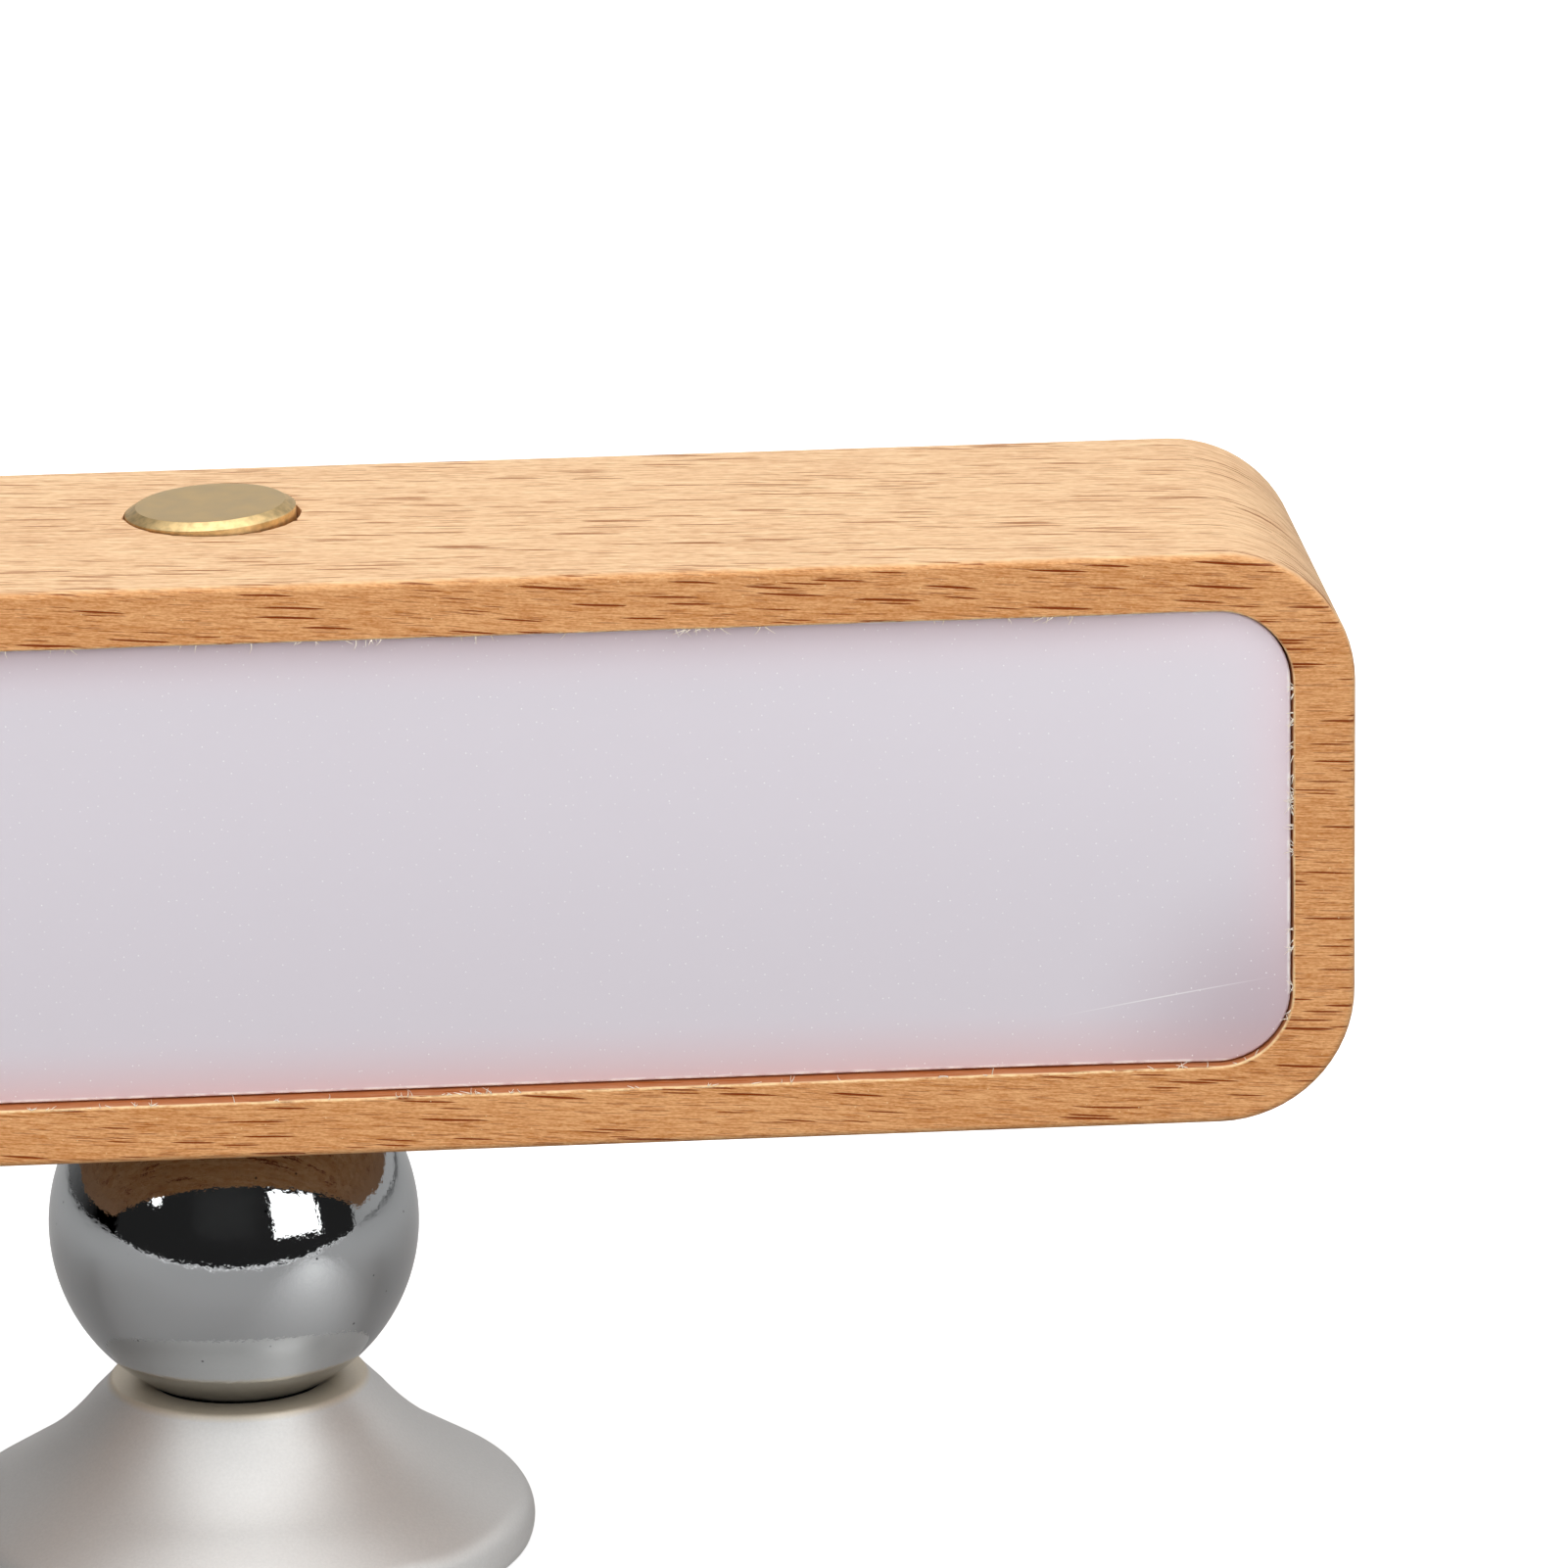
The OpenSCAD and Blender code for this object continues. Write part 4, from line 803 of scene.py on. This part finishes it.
class SCONCE_OT_base(bpy.types.Operator):
    """Turns the bell of the base from one smooth outline"""
    bl_idname = "sconce.base"
    bl_label = "Turned base"

    SEGMENTS, EDGE_STEPS, BEND_STEPS, LIP_STEPS, DISH_STEPS = 192, 24, 12, 5, 6
    # Radians at which the lip's rounded edge takes over from the neck
    LIP_FROM = 0.3

    def execute(self, context):
        sizes = context.scene.sconce_base
        base_r = (BASE_HIGH.x - BASE_LOW.x) / 2
        rim, lip_z = BASE_LOW.z, BASE_HIGH.z
        edge = (base_r - sizes.edge, rim + sizes.edge_rise)
        neck = (sizes.neck, lip_z - sizes.neck_drop)
        reach = math.dist(edge, neck)
        slope = math.atan2(edge[1] - neck[1], edge[0] - neck[0]) + math.asin(sizes.edge / reach)
        rise = math.atan2(lip_z - neck[1], sizes.lip - neck[0])
        bend = math.pi - (rise - slope)
        bend_in = sizes.neck_bend * math.tan(bend / 2)
        bend_mid = (neck[0] + bend_in * math.cos(slope) - sizes.neck_bend * math.sin(slope),
                    neck[1] + bend_in * math.sin(slope) + sizes.neck_bend * math.cos(slope))
        quarter = math.pi / 2
        profile = arc(edge, sizes.edge, -math.asin(sizes.edge_rise / sizes.edge), slope + quarter, self.EDGE_STEPS)
        profile += arc(bend_mid, sizes.neck_bend, slope - quarter, slope - quarter - bend, self.BEND_STEPS)
        soft = sizes.lip_round
        profile += arc((sizes.lip - soft, lip_z - soft), soft, self.LIP_FROM, quarter, self.LIP_STEPS)
        pot_r = (POT_HIGH.x - POT_LOW.x) / 2 + sizes.pot_gap
        dish_r = (BALL_HIGH.z - BALL_LOW.z) / 2 + sizes.seat_gap
        dish_from = -math.asin((BALL_MID.z - lip_z) / dish_r)
        dish_to = -math.acos(sizes.lip_bore / dish_r)
        profile += arc((0.0, BALL_MID.z), dish_r, dish_from, dish_to, self.DISH_STEPS)
        profile += [(sizes.lip_bore, lip_z - sizes.lip_t), (pot_r, lip_z - sizes.lip_t)]
        plate_r = (PLATE_HIGH.x - PLATE_LOW.x) / 2 + sizes.plate_gap
        plate_top = PLATE_HIGH.z
        profile += [(pot_r, plate_top + sizes.core), (sizes.core_radius, plate_top + sizes.core),
                    (sizes.core_radius, plate_top + sizes.hollow), (plate_r - sizes.step, plate_top + sizes.hollow),
                    (plate_r - sizes.step, plate_top), (plate_r, plate_top), (plate_r, rim)]
        builder = bmesh.new()
        lathe(builder, profile, self.SEGMENTS, True)
        made = piece("turned_base", builder, blasted_aluminium(context.scene.sconce_finishes), "base", TURNED_SHARP)
        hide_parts("base_shell")
        return {"FINISHED"}


class SCONCE_OT_ball(bpy.types.Operator):
    """Models the polished ball as a fine sphere with evenly spread faces"""
    bl_idname = "sconce.ball"
    bl_label = "Polished ball"

    FINENESS = 6

    def execute(self, context):
        builder = bmesh.new()
        radius = (BALL_HIGH.z - BALL_LOW.z) / 2
        bmesh.ops.create_icosphere(builder, subdivisions=self.FINENESS, radius=radius,
                                   matrix=Matrix.Translation(BALL_MID))
        made = piece("chrome_ball", builder, chromed_steel(context.scene.sconce_finishes), "ball", ALL_SMOOTH)
        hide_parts("steel_ball")
        return {"FINISHED"}


class SCONCE_OT_button(bpy.types.Operator):
    """Turns the brass button, whose top leans a little in its hole"""
    bl_idname = "sconce.button"
    bl_label = "Brass button"

    SEGMENTS, EDGE_STEPS = 128, 4
    # Rings of the flat top, as shares of the radius
    TOP_RINGS = (0.7, 0.4, 0.0)

    def execute(self, context):
        sizes = context.scene.sconce_button
        flange_r = (BUTTON_HIGH.x - BUTTON_LOW.x) / 2
        top = BUTTON_HIGH.z - sizes.radius * math.tan(sizes.lean) - sizes.sunk
        soft = sizes.edge
        slant = math.atan2(sizes.bevel, sizes.bevel_width)
        quarter = math.pi / 2
        low = BUTTON_LOW.z
        profile = [(0.0, low), (flange_r, low), (flange_r, low + sizes.flange), (sizes.radius, low + sizes.flange)]
        profile += arc((sizes.radius - soft, top - sizes.bevel), soft, 0.0, quarter - slant, self.EDGE_STEPS)
        profile += arc((sizes.radius - sizes.bevel_width - soft / 2, top - soft), soft, quarter - slant, quarter,
                       self.EDGE_STEPS)
        profile += [(sizes.radius * share, top) for share in self.TOP_RINGS]
        builder = bmesh.new()
        lathe(builder, profile, self.SEGMENTS, False)
        for v in builder.verts:
            if v.co.z > BAR_HIGH.z - sizes.bevel:
                v.co.z += v.co.x * math.tan(sizes.lean)
            v.co.x -= sizes.left
            v.co.y += BUTTON_MID.y + sizes.behind
        made = piece("brass_button", builder, turned_brass(context.scene.sconce_finishes), "button", TURNED_SHARP)
        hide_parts("button_cap")
        return {"FINISHED"}


class SCONCE_OT_inner(bpy.types.Operator):
    """Gives the pieces that keep their solids a finish of their own"""
    bl_idname = "sconce.inner"
    bl_label = "Inner pieces"

    def execute(self, context):
        made = {slot: inner_finish(slot) for slot in INNER_FINISHES}
        for subpart in frame["record"]["subparts"]:
            if subpart["material_slot"] in made:
                materials = frame["nodes"][subpart["node"]].data.materials
                materials.clear()
                materials.append(made[subpart["material_slot"]])
        return {"FINISHED"}


class SCONCE_OT_stage(bpy.types.Operator):
    """Sets the floor, the studio light and the camera"""
    bl_idname = "sconce.stage"
    bl_label = "Stage"

    # Each softbox's place, width and height in metres, its watts, and whether the sconce mirrors it
    SOFTBOXES = (
        ("top softbox", (0.0, -0.05, 1.1), 2.0, 1.1, 8.9, True),
        ("high front softbox", (0.05, -0.6, 0.85), 2.0, 0.5, 5.3, True),
        ("key softbox", (-0.1, -0.9, 0.4), 0.6, 0.5, 4.6, True),
        ("fill softbox", (0.0, -1.0, 0.25), 0.8, 0.5, 0.9, True),
        ("back softbox", (0.0, 0.8, 0.5), 1.0, 0.5, 2.4, False))
    # Two opposite corners of each upright card in metres, and its glow
    CARDS = (
        ("dark card", (-0.8, -0.16, -0.05), (0.8, -0.16, 0.3), 0.02),
        ("bright card", (0.065, -0.155, 0.045), (0.205, -0.155, 0.14), 3.0),
        ("back card", (-0.3, 1.0, 0.1), (0.3, 1.0, 0.7), 0.66),
        ("left card", (-0.6, -0.4, 0.3), (-0.6, 0.15, 0.6), 0.6),
        ("right card", (0.6, -0.1, 0.25), (0.6, 0.4, 0.5), 1.5),
        ("table edge", (-0.8, -0.15, -0.007), (0.8, -0.15, 0.003), 1.3))
    CARD_BLACK = "#101010"
    # How the room's light grows to the right and to the back, and its level in the middle
    ROOM_LEAN, ROOM_LEVEL = (0.24, 0.15, 0.0), 0.22
    # Middle, radius and steps of the round lamp
    LAMP_MID, LAMP_R, LAMP_STEPS = (-0.212, -0.155, 0.15), 0.025, 24
    TABLE_FRONT = -0.15
    SENSOR = 36.0

    def execute(self, context):
        layout = context.scene.sconce_stage
        scene = context.scene
        scene.view_settings.view_transform = "Standard"
        self.floor(layout.floor)
        self.light(scene)
        self.camera(scene, layout)
        return {"FINISHED"}

    @staticmethod
    def stage_piece(name, corners, base, glow, seen_by, spot=None):
        """A flat sheet of the stage, which shows only to some kinds of light rays. A spot, given by its middle, turn
        and reach, keeps its glow in one place."""
        builder = bmesh.new()
        builder.faces.new([builder.verts.new(c) for c in corners])
        mesh = bpy.data.meshes.new(name)
        builder.to_mesh(mesh)
        builder.free()
        material = bpy.data.materials.new(name)
        node = blank(material)
        place = node("TexCoord")["Object"]
        tooth = node("TexNoise", {"Vector": place, "Scale": 1 / (2 * MM), "Detail": 2.0})
        rough = node("MapRange", {0: tooth["Fac"], 3: 0.75, 4: 0.95})
        if spot:
            middle, turn, reach = spot
            where = node("Mapping", {"Vector": place, "Location": middle, "Rotation": turn, "Scale": reach},
                         vector_type="TEXTURE")
            away = node("VectorMath", {0: where[0]}, operation="LENGTH")
            glow = node("MapRange", {0: away["Value"], 3: glow, 4: 0.0}, interpolation_type="SMOOTHSTEP")[0]
        shader = node("BsdfPrincipled", {
            "Base Color": linear(base), "Roughness": rough[0], "Specular IOR Level": 0.0,
            "Emission Color": linear("#FFFFFF"), "Emission Strength": glow})
        node("OutputMaterial", {"Surface": shader[0]})
        mesh.materials.append(material)
        made = bpy.data.objects.new(name, mesh)
        bpy.context.scene.collection.objects.link(made)
        for kind in ("camera", "diffuse", "glossy", "shadow"):
            setattr(made, "visible_" + kind, kind in seen_by)

    def floor(self, width):
        """White paper that the camera sees, on a grey table that the sconce mirrors."""
        low, half = CAD_BOX[0][2], width / 2
        sheen = ((0.075, -0.075, low), (0.0, 0.0, math.radians(45)), (0.045, 0.11, 1.0))
        for name, drop, front, grey, glow, seen_by, spot in (
                ("white paper", 0.0, -half, "#C8C8C8", 0.72, "camera", None),
                ("grey table", 0.1 * MM, self.TABLE_FRONT, "#AEAEAE", 0.55, "glossy", sheen),
                ("table shade", 1 * MM, self.TABLE_FRONT, "#828282", 0.0, "diffuse", None)):
            z = low - drop
            corners = [(-half, front, z), (half, front, z), (half, half, z), (-half, half, z)]
            self.stage_piece(name, corners, grey, glow, (seen_by,), spot)

    def light(self, scene):
        """A white room, darker in front and to the left, softboxes on all sides but the ends, and cards that only show
        in reflections."""
        world = bpy.data.worlds.new("studio")
        node = blank(world)
        way = node("TexCoord")["Generated"]
        lean = node("VectorMath", {0: way, 1: self.ROOM_LEAN}, operation="DOT_PRODUCT")
        level = node("Math", {0: lean["Value"], 1: self.ROOM_LEVEL}, operation="ADD", use_clamp=True)
        room = node("Background", {"Color": linear("#FFFFFF"), "Strength": level[0]})
        node("OutputWorld", {"Surface": room[0]})
        scene.world = world
        for name, place, width, height, watts, mirrored in self.SOFTBOXES:
            lamp = bpy.data.lights.new(name, "AREA")
            lamp.shape = "RECTANGLE"
            lamp.size = width
            lamp.size_y = height
            lamp.energy = watts
            holder = bpy.data.objects.new(name, lamp)
            holder.location = place
            holder.visible_glossy = mirrored
            holder.rotation_euler = (BAR_MID - Vector(place)).to_track_quat("-Z", "Y").to_euler()
            scene.collection.objects.link(holder)
        for name, low, high, glow in self.CARDS:
            corners = [low, (high[0], high[1], low[2]), high, (low[0], low[1], high[2])]
            self.stage_piece(name, corners, self.CARD_BLACK, glow, ("glossy",))
        x, y, z = self.LAMP_MID
        turns = [2 * math.pi * i / self.LAMP_STEPS for i in range(self.LAMP_STEPS)]
        disc = [(x + self.LAMP_R * math.cos(a), y, z + self.LAMP_R * math.sin(a)) for a in turns]
        self.stage_piece("round lamp", disc, self.CARD_BLACK, 4.0, ("glossy",))
        ceiling = [(-0.3, -0.2, 1.0), (0.3, -0.2, 1.0), (0.3, 0.25, 1.0), (-0.3, 0.25, 1.0)]
        self.stage_piece("ceiling card", ceiling, self.CARD_BLACK, 2.4, ("glossy",))

    def camera(self, scene, layout):
        """A long lens in front, a little to the left and above."""
        turn = Matrix.Rotation(-layout.turn, 3, "Z")
        tilt = Matrix.Rotation(math.pi / 2 - layout.tilt, 3, "X")
        roll = Matrix.Rotation(-layout.roll, 3, "Z")
        stance = turn @ tilt @ roll
        lens = bpy.data.cameras.new("camera")
        lens.sensor_width = self.SENSOR
        lens.lens = layout.lens
        camera = bpy.data.objects.new("camera", lens)
        back = stance @ Vector((0.0, 0.0, layout.distance))
        camera.matrix_world = Matrix.Translation(Vector(layout.aim) + back) @ stance.to_4x4()
        scene.collection.objects.link(camera)
        scene.camera = camera


OPERATORS = (SCONCE_OT_stage, SCONCE_OT_bar, SCONCE_OT_window, SCONCE_OT_fibres, SCONCE_OT_base, SCONCE_OT_ball,
             SCONCE_OT_button, SCONCE_OT_inner)


class SCONCE_PT_panel(bpy.types.Panel):
    """Lists the sconce's pieces"""
    bl_idname = "SCONCE_PT_panel"
    bl_label = "Wall sconce"
    bl_space_type = "VIEW_3D"
    bl_region_type = "UI"
    bl_category = "Sconce"

    def draw(self, context):
        for operator in OPERATORS:
            self.layout.operator(operator.bl_idname)


GROUPS = {"sconce_bar": BarSizes, "sconce_base": BaseSizes, "sconce_button": ButtonSizes,
          "sconce_finishes": Finishes, "sconce_stage": StageLayout}
CLASSES = (*GROUPS.values(), *OPERATORS, SCONCE_PT_panel)


def register():
    for each in CLASSES:
        bpy.utils.register_class(each)
    for name, group in GROUPS.items():
        setattr(bpy.types.Scene, name, PointerProperty(type=group))


def unregister():
    for name in GROUPS:
        delattr(bpy.types.Scene, name)
    for each in reversed(CLASSES):
        bpy.utils.unregister_class(each)


def main():
    register()
    bpy.ops.sconce.stage()
    bpy.ops.sconce.bar()
    bpy.ops.sconce.window()
    bpy.ops.sconce.fibres()
    bpy.ops.sconce.base()
    bpy.ops.sconce.ball()
    bpy.ops.sconce.button()
    bpy.ops.sconce.inner()


if __name__ == "__main__":
    main()
